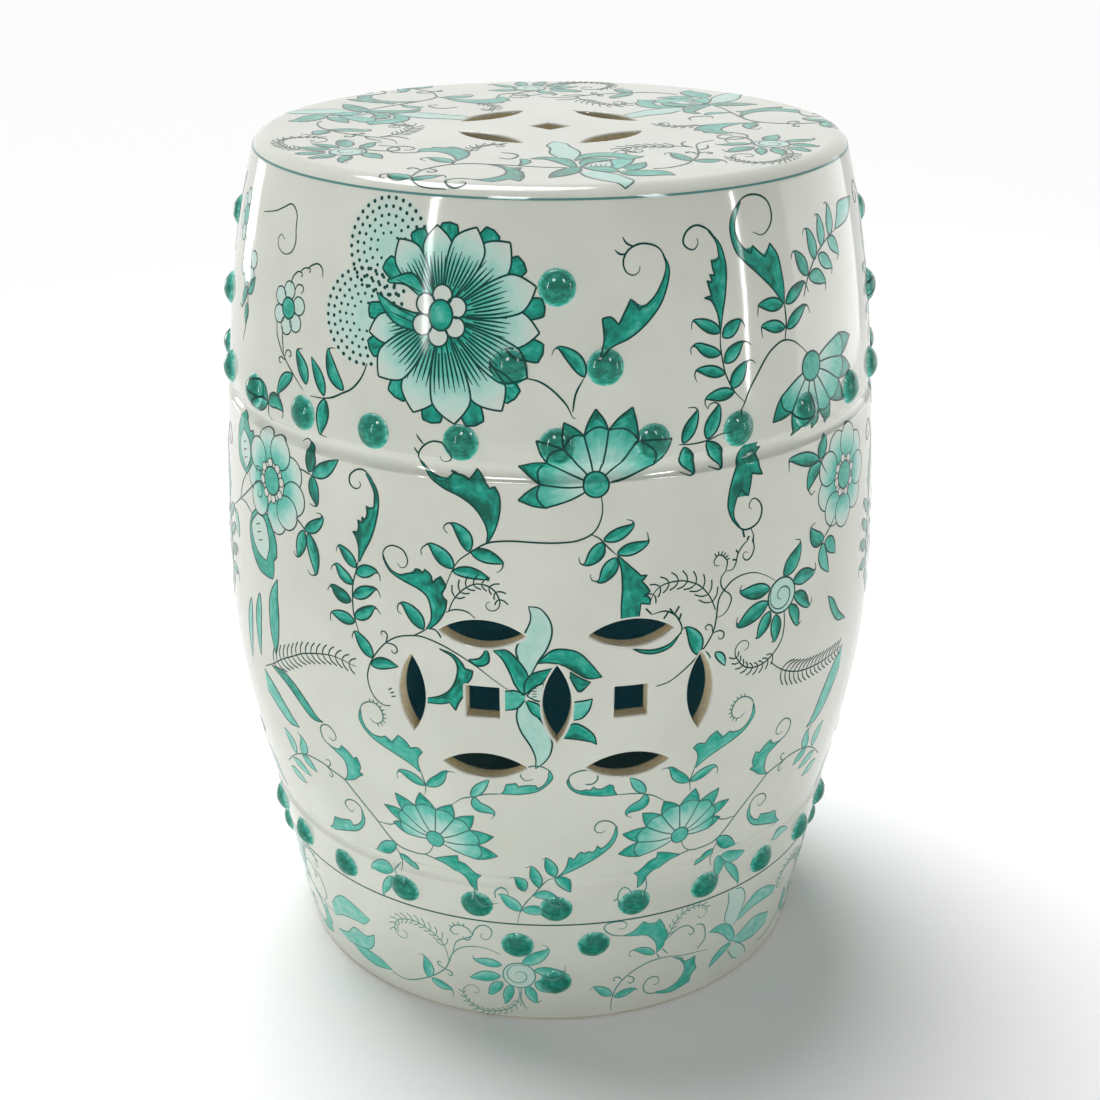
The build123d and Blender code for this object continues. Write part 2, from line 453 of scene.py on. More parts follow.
foot_rim_radius = 120.0
foot_rim_thickness = 9.0
foot_rim_edge = 1.5
foot_edge_round = 2.5
foot_edge = float(drum_radius(0))
edge_centre = foot_edge - foot_edge_round * 0.8
foot_outline = []
for a in np.linspace(-pi / 2, -foot_angle, 7):
    foot_outline.append((edge_centre + foot_edge_round * cos(a), foot_edge_round * (1 + sin(a))))
foot_outline += [(float(drum_radius(z)), z) for z in wall_heights(foot_edge_round, lower_seam)[1:]]
foot_outline += [(float(drum_radius(z)) - wall_thickness, z) for z in np.linspace(lower_seam, 18, 8)]
foot_outline += [(foot_edge - 11, 11.5), (foot_edge - 15, foot_rim_thickness)]
foot_outline += [(foot_rim_radius + foot_rim_edge, foot_rim_thickness)]
foot_outline += [(foot_rim_radius, foot_rim_thickness - foot_rim_edge)]
foot_outline += [(foot_rim_radius, foot_rim_edge), (foot_rim_radius + foot_rim_edge, 0)]
foot_wall = turned("foot_wall_ring", foot_outline)
glazed_outside(foot_wall)
follow_drum(foot_wall)

# Seat: a slab of the same clay on the shoulder wall, with a rounded rim, flat on top and
# pierced with one coin that stands on its corner, so that a finger can lift the stool.
rim_round = 9.5
rim_top_radius = 145.39
seat_level = stool_height - glaze_drop
seat_coin_radius = 43.0


def rim_point(angle, lift=0.0):
    """Radius and height on the rounded rim, at an angle up from level, with paint of the given lift."""
    reach = rim_round - glaze_drop + lift
    return rim_top_radius + reach * np.cos(angle), stool_height - rim_round + reach * np.sin(angle)


seat_outline = [(r, seat_level) for r in (0, 20, 60, 100, 130)]
seat_outline += [rim_point(a) for a in np.linspace(pi / 2, radians(15), 16)]
seat_outline += [(r, seat_seam) for r in (float(drum_radius(seat_seam)), 100, 20, 0)]
seat_top = turned("seat_slab", seat_outline, closed=False)
seat_top.data.materials.append(white_glaze)
seat_top.data.materials.append(raw_clay)
seat_top.data.materials.append(liner_slip)
for face in seat_top.data.polygons:
    face.material_index = 2 if face.normal.z < -0.5 else 0
seat_holes = [((0, 0), square_hole(14.5, pi / 4))]
for quarter in range(4):
    turn = pi / 4 + quarter * pi / 2
    spot = (seat_coin_radius * cos(turn), seat_coin_radius * sin(turn))
    seat_holes.append((spot, petal_slot(46.0, 14.0, turn + pi / 2)))
seat_top = pierced(seat_top, seat_holes, into_seat, stool_height - seat_seam)
only(seat_top)
bpy.ops.object.shade_smooth_by_angle(angle=crease)

for piece, node in ((shoulder_wall, "shoulder_wall"), (belly_wall, "belly_wall"),
    (foot_wall, "foot_wall"), (seat_top, "seat_top")):
    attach(piece, "root")
    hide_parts(node)

# Bosses: press-moulded clay buttons stuck on like the nail heads of a drum, two rows and a
# triangle beyond each row on four sides, brushed with deep green enamel under the glaze.
boss_radius = 8.6
boss_height = 4.2
boss_root = -1.6
boss_skirt = 0.12
boss_hem = -0.3
boss_steps = 36
boss_sphere = (boss_radius**2 + boss_height**2) / (2 * boss_height)
bosses_per_row = 24
row_turn = 2 * pi / bosses_per_row
upper_row = upper_seam + 13.0
upper_apex = seat_seam - 31.2
lower_row = lower_seam - 15.5
lower_apex = 29.0
boss_spots = {"upper_boss_row": [(i * row_turn, upper_row) for i in range(bosses_per_row)],
    "lower_boss_row": [(i * row_turn, lower_row) for i in range(bosses_per_row)]}
for i, side in enumerate(("front", "right", "back", "left")):
    turn = i * pi / 2
    for level, row, apex in (("upper", upper_row, upper_apex), ("lower", lower_row, lower_apex)):
        pair = [(turn + hand * row_turn / 2, (row + apex) / 2) for hand in (-1, 1)]
        boss_spots[f"{side}_{level}_bosses"] = pair + [(turn, apex)]

# Deep green enamel laid on with a loaded brush: mottled darker and lighter green, with a pale
# rim of light painted round the foot where the glaze pools, under a gloss that catches every lamp.
boss_green, shader = new_finish("green_enamel_under_gloss_glaze")
place = add_node(boss_green, "ShaderNodeTexCoord").outputs["Object"]
streak_length = 3.6
streak_width = 2.6
stretch = add_node(boss_green, "ShaderNodeMapping", {"Vector": place, "Scale": [1 / (streak_length * mm),
    1 / (streak_length * mm), 1 / (streak_width * mm)]})
streaks = add_node(boss_green, "ShaderNodeTexNoise", {"Vector": stretch.outputs["Vector"], "Scale": 1.0,
    "Detail": 5.0, "Roughness": 0.65})
crown = add_node(boss_green, "ShaderNodeAttribute", attribute_name="crown").outputs["Fac"]
# painted rim light: each boss's green turns pale towards its foot, standing in for light caught in the
# pooled glaze
painted_rim_light = add_node(boss_green, "ShaderNodeMapRange", {"Value": crown, "From Max": 0.5, "To Min": 0.36,
    "To Max": 0.0}, interpolation_type="SMOOTHSTEP")
green = add_node(boss_green, "ShaderNodeMath", {0: streaks.outputs["Fac"], 1: painted_rim_light.outputs["Result"]},
    operation="ADD")
tint = add_node(boss_green, "ShaderNodeValToRGB", {"Fac": green.outputs[0]})
tint.color_ramp.elements[0].position = 0.22
tint.color_ramp.elements[0].color = linear("#00483B")
tint.color_ramp.elements[1].color = linear("#A2DDD2")
for place_on_ramp, colour in ((0.5, "#007A65"), (0.78, "#35AD99")):
    tint.color_ramp.elements.new(place_on_ramp).color = linear(colour)
boss_green.node_tree.links.new(tint.outputs["Color"], shader.inputs["Base Color"])
glossed(boss_green, 0.3)

boss_outline = []
for a in np.linspace(0, np.arcsin(boss_radius / boss_sphere), 9):
    boss_outline.append((boss_sphere * sin(a), boss_sphere * cos(a) - boss_sphere + boss_height))
boss_outline += [(boss_radius + boss_skirt, z) for z in (boss_hem, boss_root)] + [(0, boss_root)]
pattern_boss = turned("boss", boss_outline, closed=False, steps=boss_steps)
pattern_boss.data.materials.append(boss_green)
crown = pattern_boss.data.attributes.new("crown", "FLOAT", "POINT")
crown.data.foreach_set("value", [max(v.co.z / (boss_height * mm), 0) for v in pattern_boss.data.vertices])


def boss_frame(turn, height):
    """Where a boss stands: its middle on the wall, and the outward direction there."""
    out, up = drum_normal(height)
    reach = float(drum_radius(height)) + glaze_drop
    middle = Vector((reach * sin(turn), -reach * cos(turn), height))
    return middle, Vector((out * sin(turn), -out * cos(turn), up))


for node, spots in boss_spots.items():
    copies = []
    for turn, height in spots:
        middle, outwards = boss_frame(turn, height)
        copy = pattern_boss.copy()
        copy.data = pattern_boss.data.copy()
        bpy.context.collection.objects.link(copy)
        seat = Matrix.Translation(middle * mm) @ outwards.to_track_quat("Z", "Y").to_matrix().to_4x4()
        copy.data.transform(seat)
        copies.append(copy)
    group = joined(copies)
    group.name = f"{node}_domes"
    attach(group, "root")
    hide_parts(node)
bpy.data.objects.remove(pattern_boss)

# Painting: enamel under the clear glaze, fine dark outlines first and then green washes, drawn
# by hand with a brush. Each zone is drawn flat in millimetres, across and up, then wrapped on:
# a stroke is a list of its first point and then the steps from each point to the next.
painted = []
# Where strokes go: surface, radius and turn. How they look: the lines' weight, the green's depth.
drawing = {"surface": "wall", "radius": 168.0, "turn": 0.0, "weight": 1.0, "depth": 1.0, "motif": None}
line_width = 0.95


def even(path, step):
    """The same line with its points evenly spaced."""
    return resampled(path, max(int(round(length_of(path) / step)), 2) + 1)


def length_of(path):
    """Length of a line."""
    return float(np.hypot(*np.diff(np.asarray(path, float), axis=0).T).sum())


def resampled(path, count):
    """The line with a given number of evenly spaced points."""
    path = np.asarray(path, float)
    along = np.concatenate([[0], np.cumsum(np.hypot(*np.diff(path, axis=0).T))])
    at = np.linspace(0, along[-1], count)
    return np.stack([np.interp(at, along, path[:, 0]), np.interp(at, along, path[:, 1])], axis=1)


def smooth(points, step=1.3):
    """Smooth line through the given points."""
    points = np.asarray(points, float)
    if len(points) == 2:
        return even(points, step)
    ends = np.vstack([2 * points[0] - points[1], points, 2 * points[-1] - points[-2]])
    parts = []
    t = np.linspace(0, 1, 10, endpoint=False)[:, None]
    for a, b, c, d in zip(ends, ends[1:], ends[2:], ends[3:]):
        bend = 2 * a - 5 * b + 4 * c - d + t * (3 * b - a - 3 * c + d)
        parts.append(b + 0.5 * t * ((c - a) + t * bend))
    parts.append(points[-1:])
    return even(np.vstack(parts), step)


def drawn(stroke, step=1.3):
    """Smooth line of a stroke, a list of its first point and then steps; a line that is made stays."""
    if isinstance(stroke, list):
        return smooth(np.cumsum(np.array(stroke, float), axis=0), step)
    return stroke


def cornered(first, *runs):
    """Line of smooth runs that meet in corners, each run from where the one before it ends."""
    path = drawn(first, 1.0)
    for run in runs:
        path = np.vstack([path, drawn([path[-1], *run], 1.0)[1:]])
    return path


def sideways(path):
    """Unit direction to the left of a line at each of its points."""
    along = np.gradient(path, axis=0)
    along /= np.maximum(np.hypot(along[:, 0], along[:, 1]), 1e-9)[:, None]
    return np.stack([-along[:, 1], along[:, 0]], axis=1)


def lay(kind, grid, tone, level):
    """Keeps one painted patch: a grid of points, the depth of its green, and its place in the pile."""
    grid = np.array(grid, float)
    if drawing["motif"]:
        pivot, spot, turn, hand = drawing["motif"]
        x, z = ((grid - pivot) * (hand, 1)).transpose(2, 0, 1)
        turn = radians(turn)
        grid = np.stack([spot[0] + x * cos(turn) - z * sin(turn),
            spot[1] + x * sin(turn) + z * cos(turn)], axis=2)
    tone = np.broadcast_to(tone, grid.shape[:2]) * drawing["depth"]
    painted.append((drawing["surface"], drawing["radius"], kind, grid, tone, level))


def again(motif, pivot, spot, turn=0, hand=1):
    """Paints a motif once more, its pivot moved to a spot, turned in degrees, mirrored if hand is -1."""
    drawing["motif"] = (pivot, spot, turn, hand)
    motif()
    drawing["motif"] = None


def line(points, width=line_width, start=0.6, end=0.35, level=1):
    """Brush line that swells from its start and thins to its end."""
    path = drawn(points)
    t = np.linspace(0, 1, len(path))
    swell = np.interp(t, [0, 0.25, 0.65, 1], [start, 1, 1, end])
    reach = sideways(path) * (width * drawing["weight"] / 2 * swell)[:, None]
    lay("line", np.stack([path + reach, path - reach], axis=1), 0.5, level)


def wound(points, radius, turns, side):
    """Line that ends in a spiral; side is 1 to wind left and -1 to wind right."""
    path = drawn(points)
    ahead = path[-1] - path[-2]
    heading = atan2(ahead[1], ahead[0])
    t = np.linspace(0, 1, max(int(turns * 26), 8))[1:]
    centre = path[-1] + radius * np.array([-sin(heading), cos(heading)]) * side
    angle = heading - side * pi / 2 + side * turns * 2 * pi * t
    reach = radius * (1 - 0.78 * t**0.8)
    curl = centre + np.stack([reach * np.cos(angle), reach * np.sin(angle)], axis=1)
    return even(np.vstack([path, curl]), 1.0)


def tendril(points, radius, turns, side, width=line_width):
    """Thin stem that ends in a curl."""
    line(wound(points, radius, turns, side), width)


def wash(left, right, tone_left, tone_right, level=0, across=4):
    """Green wash between two edges, its depth running from edge to edge."""
    count = max(len(left), len(right))
    left = resampled(left, count)
    right = resampled(right, count)
    s = np.linspace(0, 1, across + 1)
    grid = left[:, None] * (1 - s)[None, :, None] + right[:, None] * s[None, :, None]
    lay("wash", grid, np.repeat((tone_left * (1 - s) + tone_right * s)[None], count, axis=0), level)


def blade(left, right, tones=(0.9, 0.7), level=0):
    """Leaf between two drawn edges, both from its foot to its tip, outlined."""
    left = drawn(left)
    right = drawn(right)
    wash(left, right, tones[0], tones[1], level)
    line(left, line_width, 0.7, 0.6, level)
    line(right, line_width, 0.7, 0.6, level)


def leaf(spine, width, tail=None, tones=(0.95, 0.5)):
    """Pointed leaf along a spine from its foot to its tip, drawn out into a curled tail."""
    path = drawn(spine + (tail or []), 0.9)
    share = 1.15 * length_of(drawn(spine)) / length_of(path) if tail else 1
    t = np.clip(np.linspace(0, 1, len(path)) / share, 0, 1)
    reach = sideways(path) * (width / 2 * np.sin(pi * t**0.78) ** 0.9)[:, None]
    count = int(np.sum(t < 1)) + 1
    wash((path + reach)[:count], (path - reach)[:count], tones[0], tones[1], across=3)
    line(path + reach, line_width, 0.8, 0.35, 0)
    line((path - reach)[:count], line_width, 0.8, 0.6, 0)


def disc(centre, radius, tone, level=2, outline=line_width, squash=1.0, edge_tone=None):
    """Round or oval dab, outlined."""
    rings = np.linspace(0.02, 1, 5)
    angle = np.linspace(0, 2 * pi, max(int(radius * 5), 14) + 1)
    rim = np.stack([np.cos(angle) * radius, np.sin(angle) * radius * squash], axis=1)
    grid = np.asarray(centre) + rings[None, :, None] * rim[:, None]
    edge_tone = tone if edge_tone is None else edge_tone
    lay("wash", grid, tone + (edge_tone - tone) * rings[None, :], level)
    if outline:
        line(np.asarray(centre) + rim, outline, 1, 1, level)


def fern(points, hair, gap, radius=0, turns=0, side=1, width=0.65, first=0.12):
    """Feathered frond: a thin stem with fine hairs on both sides, often ending in a curl."""
    path = wound(points, radius, turns, side) if turns else drawn(points, 1.0)
    line(path, width, 0.8, 0.4)
    stem = even(path, gap)
    out = sideways(stem)
    ahead = np.gradient(stem, axis=0)
    ahead /= np.maximum(np.hypot(ahead[:, 0], ahead[:, 1]), 1e-9)[:, None]
    for i in range(int(len(stem) * first) + 1, int(len(stem) * (0.76 if turns else 0.98))):
        fade = 1.3 - 0.6 * i / len(stem)
        for hand in (-1, 1):
            reach = hair * fade * (0.75 if turns and hand == side else 1)
            tip = stem[i] + reach * (0.75 * hand * out[i] + 0.7 * ahead[i])
            bow = stem[i] + reach * (0.45 * hand * out[i] + 0.25 * ahead[i])
            line(smooth([stem[i], bow, tip]), width * 0.95, 0.5, 1.0)


def hairs(points, reach, gap, side):
    """Short hairs along one side of a line."""
    path = even(drawn(points), gap)
    out = sideways(path)
    for spot, way in zip(path[1:-1], out[1:-1]):
        line([spot, side * reach * way], 0.7, 0.7, 0.6)


def petal(foot, tip, width, tone_foot, tone_tip, level=1, full=0.62, across=4, blunt=0.75, fade=1.0):
    """Pointed petal from foot to tip, broadest a given part of the way out; gives its spine and sides."""
    foot = np.asarray(foot, float)
    tip = np.asarray(tip, float)
    t = np.linspace(0, 1, 22)
    spine = foot + t[:, None] * (tip - foot)
    lower = np.clip(t / full, 0, 1)
    upper = np.clip((1 - t) / (1 - full), 0, 1)
    half = width / 2 * np.where(t < full, 0.25 + 0.75 * np.sin(pi / 2 * lower) ** 1.2,
        np.sin(pi / 2 * upper) ** blunt)
    side = sideways(spine) * half[:, None]
    s = np.linspace(1, -1, across + 1)
    grid = spine[:, None] + side[:, None] * s[None, :, None]
    tones = tone_foot + (tone_tip - tone_foot) * t**fade
    lay("wash", grid, np.repeat(tones[:, None], across + 1, axis=1), level)
    line(spine + side, line_width, 1, 1, level)
    line(spine - side, line_width, 1, 1, level)
    return spine, side


def toward(centre, angle, reach):
    """Point at an angle in degrees and a distance from a centre."""
    return (centre[0] + reach * cos(radians(angle)), centre[1] + reach * sin(radians(angle)))


def between(start, end, share):
    """Point the given share of the way from start to end."""
    return (start[0] + (end[0] - start[0]) * share, start[1] + (end[1] - start[1]) * share)


# Wrapping: every patch becomes a thin closed solid that stands a few hundredths of a millimetre
# proud of the glaze, parted at the holes, its lines running on over the bosses.
paint_foot = -0.3
first_lift = 0.03
level_lift = 0.03
order_lift = 0.001
line_lift = 0.012
boss_lift = 0.05
plain_gap = 2.0
groove_gap = 0.9
groove_reach = 9
hole_edge = 0.15
hole_span = 30
quarter_turn = 1.2
least_width = 0.12
least_area = 1e-4
stroke_length = 9.0
bristles_across = 4
bristle_shift = 0.37
boss_reach = boss_sphere - boss_height
boss_middles = []
for spots in boss_spots.values():
    for turn, height in spots:
        middle, outwards = boss_frame(turn, height)
        boss_middles.append(np.array(middle - outwards * boss_reach))


def finer(grid, tone, gap):
    """The patch with no more than the given gap between its points."""
    for axis in (0, 1):
        widest = np.linalg.norm(np.diff(grid, axis=axis), axis=2).max()
        parts = int(np.ceil(widest / gap))
        if parts > 1:
            count = grid.shape[axis]
            at = np.linspace(0, count - 1, (count - 1) * parts + 1)
            i = np.minimum(at.astype(int), count - 2)
            share = (at - i).reshape((-1, 1) if axis == 0 else (1, -1))
            tone = np.take(tone, i, axis) * (1 - share) + np.take(tone, i + 1, axis) * share
            share = share[..., None]
            grid = np.take(grid, i, axis) * (1 - share) + np.take(grid, i + 1, axis) * share
    return grid, tone


def blunted(grid):
    """The patch with its pointed ends opened a little, so that no face is a mere line."""
    for end, beside in ((0, 1), (-1, -2)):
        if np.linalg.norm(grid[end, 0] - grid[end, -1]) < least_width:
            way = grid[beside, -1] - grid[beside, 0]
            way = way / max(np.linalg.norm(way), 1e-6)
            apart = np.linspace(-least_width / 2, least_width / 2, grid.shape[1])
            grid[end] = grid[end].mean(axis=0) + apart[:, None] * way
    return grid


def inside(spots, outline):
    """Which spots lie within a closed outline."""
    x, y = spots[:, 0:1], spots[:, 1:2]
    a = outline
    b = np.roll(outline, -1, axis=0)
    crosses = (a[:, 1] > y) != (b[:, 1] > y)
    rise = np.where(crosses, b[:, 1] - a[:, 1], 1)
    at = a[:, 0] + (y - a[:, 1]) * (b[:, 0] - a[:, 0]) / rise
    return (crosses & (at > x)).sum(axis=1) % 2 == 1


def nearest(spots, outline):
    """The nearest points of a closed outline to the spots."""
    run = np.roll(outline, -1, axis=0) - outline
    share = ((spots[:, None] - outline) * run).sum(axis=2) / np.maximum((run**2).sum(axis=1), 1e-9)
    ends = outline + np.clip(share, 0, 1)[..., None] * run
    best = ((ends - spots[:, None]) ** 2).sum(axis=2).argmin(axis=1)
    return ends[np.arange(len(spots)), best]


def parted(grid, surface, radius):
    """Draws a patch back from the holes; gives it and which of its points lay in one."""
    spots = grid.reshape(-1, 2).copy()
    lost = np.zeros(len(spots), bool)
    for hole in wall_holes if surface == "wall" else seat_holes:
        if surface == "wall":
            turn = (drawing["turn"] - hole[0] + pi + spots[:, 0] / radius) % (2 * pi) - pi
            drum = drum_radius(spots[:, 1])
            across = drum * np.sin(np.clip(turn, -quarter_turn, quarter_turn))
            local = np.stack([across, spots[:, 1] - hole[1]], axis=1)
        else:
            local = spots - hole[0]
        points, ways = hole[-1]
        near = np.abs(local).max(axis=1) < hole_span
        if not near.any():
            continue
        outline = points + (lip_round + hole_edge) * ways
        hit = np.where(near)[0][inside(local[near], outline)]
        if len(hit) == 0:
            continue
        moved = nearest(local[hit], outline)
        if surface == "wall":
            spots[hit, 0] += (np.arcsin(moved[:, 0] / drum[hit]) - turn[hit]) * radius
            spots[hit, 1] = moved[:, 1] + hole[1]
        else:
            spots[hit] = moved + hole[0]
        lost[hit] = True
    return spots.reshape(grid.shape), lost


def on_glaze(spots, surface, radius, lift, over_bosses):
    """Where drawn spots lie on the stool, lifted off the glaze, and which way is out there."""
    if surface == "seat":
        reach = np.hypot(spots[:, 0], spots[:, 1])
        angle = pi / 2 - np.clip(reach - rim_top_radius, 0, None) / (rim_round - glaze_drop)
        rim, height = rim_point(angle, lift)
        rim = np.where(reach > rim_top_radius, rim, reach)
        way = spots / np.maximum(reach, 1e-6)[:, None]
        flat = np.where(reach > rim_top_radius, np.cos(angle), 0)
        rise = np.where(reach > rim_top_radius, np.sin(angle), 1)
        return np.column_stack([way * rim[:, None], height]), np.column_stack([way * flat[:, None], rise])
    turn = drawing["turn"] + spots[:, 0] / radius
    out, up = drum_normal(spots[:, 1])
    drum = drum_radius(spots[:, 1])
    normal = np.column_stack([out * np.sin(turn), -out * np.cos(turn), up])
    wall = np.column_stack([drum * np.sin(turn), -drum * np.cos(turn), spots[:, 1]])
    point = wall + lift * normal
    if over_bosses:
        for middle in boss_middles:
            away = wall - middle
            gap = (away**2).sum(axis=1) - boss_sphere**2
            hit = gap < 0
            if hit.any():
                along = (away[hit] * normal[hit]).sum(axis=1)
                top = away[hit] + normal[hit] * (-along + np.sqrt(along**2 - gap[hit]))[:, None]
                normal[hit] = top / boss_sphere
                point[hit] = middle + normal[hit] * (boss_sphere + lift + boss_lift)
    return point, normal


def patch_solid(order, surface, radius, kind, grid, tone, level):
    """Points, outward directions, paint and faces of one patch; its top faces come first."""
    lift = first_lift + level_lift * (level + 1) + order_lift * (order % 8)
    lift += line_lift if kind == "line" else 0
    grid = blunted(grid)
    heights = grid[..., 1]
    to_groove = min(np.abs(heights - lower_seam).min(), np.abs(heights - upper_seam).min())
    grooved = surface == "wall" and to_groove < groove_reach
    grid, tone = finer(grid, tone, groove_gap if grooved else plain_gap)
    grid, lost = parted(grid, surface, radius)
    rows, columns = grid.shape[:2]
    along = np.concatenate([[0], np.cumsum(np.linalg.norm(np.diff(grid.mean(axis=1), axis=0), axis=1))])
    bristles = np.linspace(0, bristles_across, columns)
    stroke = np.broadcast_arrays(bristles, along[:, None] / stroke_length, bristle_shift * order)
    stroke = np.stack(stroke, axis=2)
    corner = np.arange(rows * columns).reshape(rows, columns)
    quads = np.stack([corner[:-1, :-1], corner[1:, :-1], corner[1:, 1:], corner[:-1, 1:]], axis=2)
    quads = quads.reshape(-1, 4)
    spots = grid.reshape(-1, 2)
    x, z = spots[quads].transpose(2, 0, 1)
    area = 0.5 * ((x[:, 2] - x[:, 0]) * (z[:, 3] - z[:, 1]) - (x[:, 3] - x[:, 1]) * (z[:, 2] - z[:, 0]))
    if area.sum() < 0:
        quads = quads[:, ::-1]
        area = -area
    quads = quads[(area > least_area) & ~lost[quads].all(axis=1)]
    if len(quads) == 0:
        return None
    used, quads = np.unique(quads, return_inverse=True)
    quads = quads.reshape(-1, 4)
    count = len(used)
    point, normal = on_glaze(spots[used], surface, radius, lift, kind == "line")
    under, _ = on_glaze(spots[used], surface, radius, paint_foot, kind == "line")
    starts = quads.reshape(-1)
    ends = np.roll(quads, -1, axis=1).reshape(-1)
    rim = ~np.isin(starts * count + ends, ends * count + starts)
    sides = np.stack([ends[rim], starts[rim], starts[rim] + count, ends[rim] + count], axis=1)
    faces = np.vstack([quads, quads[:, ::-1] + count, sides])
    stroke = stroke.reshape(-1, 3)[used]
    paint = np.column_stack([tone.reshape(-1)[used], stroke])
    return np.vstack([point, under]), np.vstack([normal] * 2), np.vstack([paint] * 2), faces, len(quads)


def painting(name):
    """Lays what was drawn since the last painting on the stool: one object of washes, one of lines."""
    made = []
    for kind, finish in (("wash", green_wash), ("line", dark_line)):
        solids = [patch_solid(i, *patch) for i, patch in enumerate(painted) if patch[2] == kind]
        solids = [s for s in solids if s]
        starts = np.cumsum([0] + [len(s[0]) for s in solids])
        faces = np.vstack([s[3] + start for s, start in zip(solids, starts)])
        tops = np.concatenate([np.arange(len(s[3])) < s[4] for s in solids])
        points = np.vstack([s[0] for s in solids])
        piece = new_piece(f"{name}_{kind}", (points * mm).tolist(), [], faces.tolist())
        mesh = piece.data
        paint = np.vstack([s[2] for s in solids])
        tone = mesh.attributes.new("tone", "FLOAT", "POINT")
        tone.data.foreach_set("value", paint[:, 0].copy())
        stroke = mesh.attributes.new("stroke", "FLOAT_VECTOR", "POINT")
        stroke.data.foreach_set("vector", paint[:, 1:].ravel())
        mesh.polygons.foreach_set("use_smooth", tops)
        normals = np.vstack([s[1] for s in solids])[faces] * tops[:, None, None]
        mesh.normals_split_custom_set(normals.reshape(-1, 3).tolist())
        mesh.materials.append(finish)
        made.append(piece)
    painted.clear()
    return made


def half_turned(pieces):
    """The same painting on the other side of the stool."""
    copies = []
    for piece in pieces:
        copy = piece.copy()
        copy.data = piece.data.copy()
        copy.data.transform(Matrix.Rotation(pi, 4, "Z"))
        copy.name = f"{piece.name}_behind"
        bpy.context.collection.objects.link(copy)
        copies.append(copy)
    return copies


def carried(pieces):
    """The painting is part of the stool."""
    for piece in pieces:
        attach(piece, "root")


# Copper green wash under the glaze: from a pale tint to full green, cloudy and streaked along each
# stroke where the brush was loaded unevenly.
green_wash, shader = new_finish("copper_green_wash_under_glaze")
place = add_node(green_wash, "ShaderNodeTexCoord").outputs["Object"]
cloud_size = 5.0
depth = add_node(green_wash, "ShaderNodeAttribute", attribute_name="tone").outputs["Fac"]
stroke = add_node(green_wash, "ShaderNodeAttribute", attribute_name="stroke").outputs["Vector"]
clouds = add_node(green_wash, "ShaderNodeTexNoise", {"Vector": place, "Scale": 1 / (cloud_size * mm),
    "Detail": 3.0})
bristles = add_node(green_wash, "ShaderNodeTexNoise", {"Vector": stroke, "Scale": 1.0, "Detail": 3.0})
both = add_node(green_wash, "ShaderNodeMath", {0: clouds.outputs["Fac"], 1: bristles.outputs["Fac"]},
    operation="ADD")
offset = add_node(green_wash, "ShaderNodeMath", {0: both.outputs[0], 1: 1.0}, operation="SUBTRACT")
uneven = add_node(green_wash, "ShaderNodeMath", {0: offset.outputs[0], 1: 0.85}, operation="MULTIPLY")
uneven = add_node(green_wash, "ShaderNodeMath", {0: uneven.outputs[0], 1: depth}, operation="MULTIPLY")
cloudy = add_node(green_wash, "ShaderNodeMath", {0: uneven.outputs[0], 1: depth}, operation="ADD")
tint = add_node(green_wash, "ShaderNodeValToRGB", {"Fac": cloudy.outputs[0]})
tint.color_ramp.elements[0].color = linear("#D2D6CD")
tint.color_ramp.elements[1].color = linear("#00604F")
for place_on_ramp, colour in ((0.15, "#B8DACF"), (0.4, "#66C2B1"), (0.7, "#14A08A")):
    tint.color_ramp.elements.new(place_on_ramp).color = linear(colour)
green_wash.node_tree.links.new(tint.outputs["Color"], shader.inputs["Base Color"])
glossed(green_wash, 0.2)

# Dark outline enamel under the glaze: thin blackish green, paler where the brush ran dry.
dark_line, shader = new_finish("dark_green_outline_under_glaze")
depth = add_node(dark_line, "ShaderNodeAttribute", attribute_name="tone").outputs["Fac"]
tint = add_node(dark_line, "ShaderNodeValToRGB", {"Fac": depth})
tint.color_ramp.elements[0].position = 0.2
tint.color_ramp.elements[0].color = linear("#6BB0A4")
tint.color_ramp.elements[1].position = 0.5
tint.color_ramp.elements[1].color = linear("#05443C")
dark_line.node_tree.links.new(tint.outputs["Color"], shader.inputs["Base Color"])
glossed(dark_line, 0.15)

# Shoulder painting: a great aster before a dotted cloud, sprigs, scroll leaves and two lotuses
# round the bosses, outlined and washed under the glaze, once at the front and once behind.
drawing.update(surface="wall", radius=168.0)


def aster(centre, tips, sepals):
    """Large aster: square green sepals between long veined petals, deep green towards its middle."""
    for tip, width in sepals:
        petal(between(centre, tip, 0.6), tip, 0.88 * width, 0.68, 0.8, level=0, full=0.5, across=2,
            blunt=0.12)
    for i, (tip, width) in enumerate(tips):
        level = 2 if i % 2 else 1
        spine, side = petal(between(centre, tip, 0.13), tip, width, 1.0, 0.0, level, 0.72, blunt=0.95,
            fade=0.62)
        for j, share in enumerate((-0.78, -0.52, -0.26, 0, 0.26, 0.52, 0.78)):
            vein = (spine + side * share)[5 if j % 2 else 3:14 if j % 2 else 15]
            line(vein, 0.95, 0.7, 0.35, level)


aster_eye = (-54.5, 399.5)
aster(aster_eye, [((-58.5, 439), 15), ((-38.5, 439), 17), ((-22, 433), 18), ((-9.5, 414), 18),
    ((-8, 393.5), 17), ((-13.5, 373), 18), ((-25, 357.5), 18), ((-47, 350), 19), ((-67, 353.5), 19),
    ((-85.5, 368), 18), ((-91.5, 388), 14), ((-78, 431.5), 15)], [((-52, 440.5), 11), ((-30, 438), 11),
    ((-15.5, 424.5), 11), ((-5.5, 405), 11), ((-6.5, 384), 12), ((-19, 363.5), 12), ((-37, 350), 12),
    ((-58, 349.5), 12), ((-76.5, 359.5), 13), ((-91, 380), 11), ((-92.5, 398), 9), ((-84.5, 421), 10),
    ((-68.5, 436.5), 10)])
blade([(-66, 399), (-11, 2.5), (-11.5, 5)], [(-66, 391), (-11, 2.5), (-7, 6), (-4.5, 7)], (0.6, 0.75), 3)
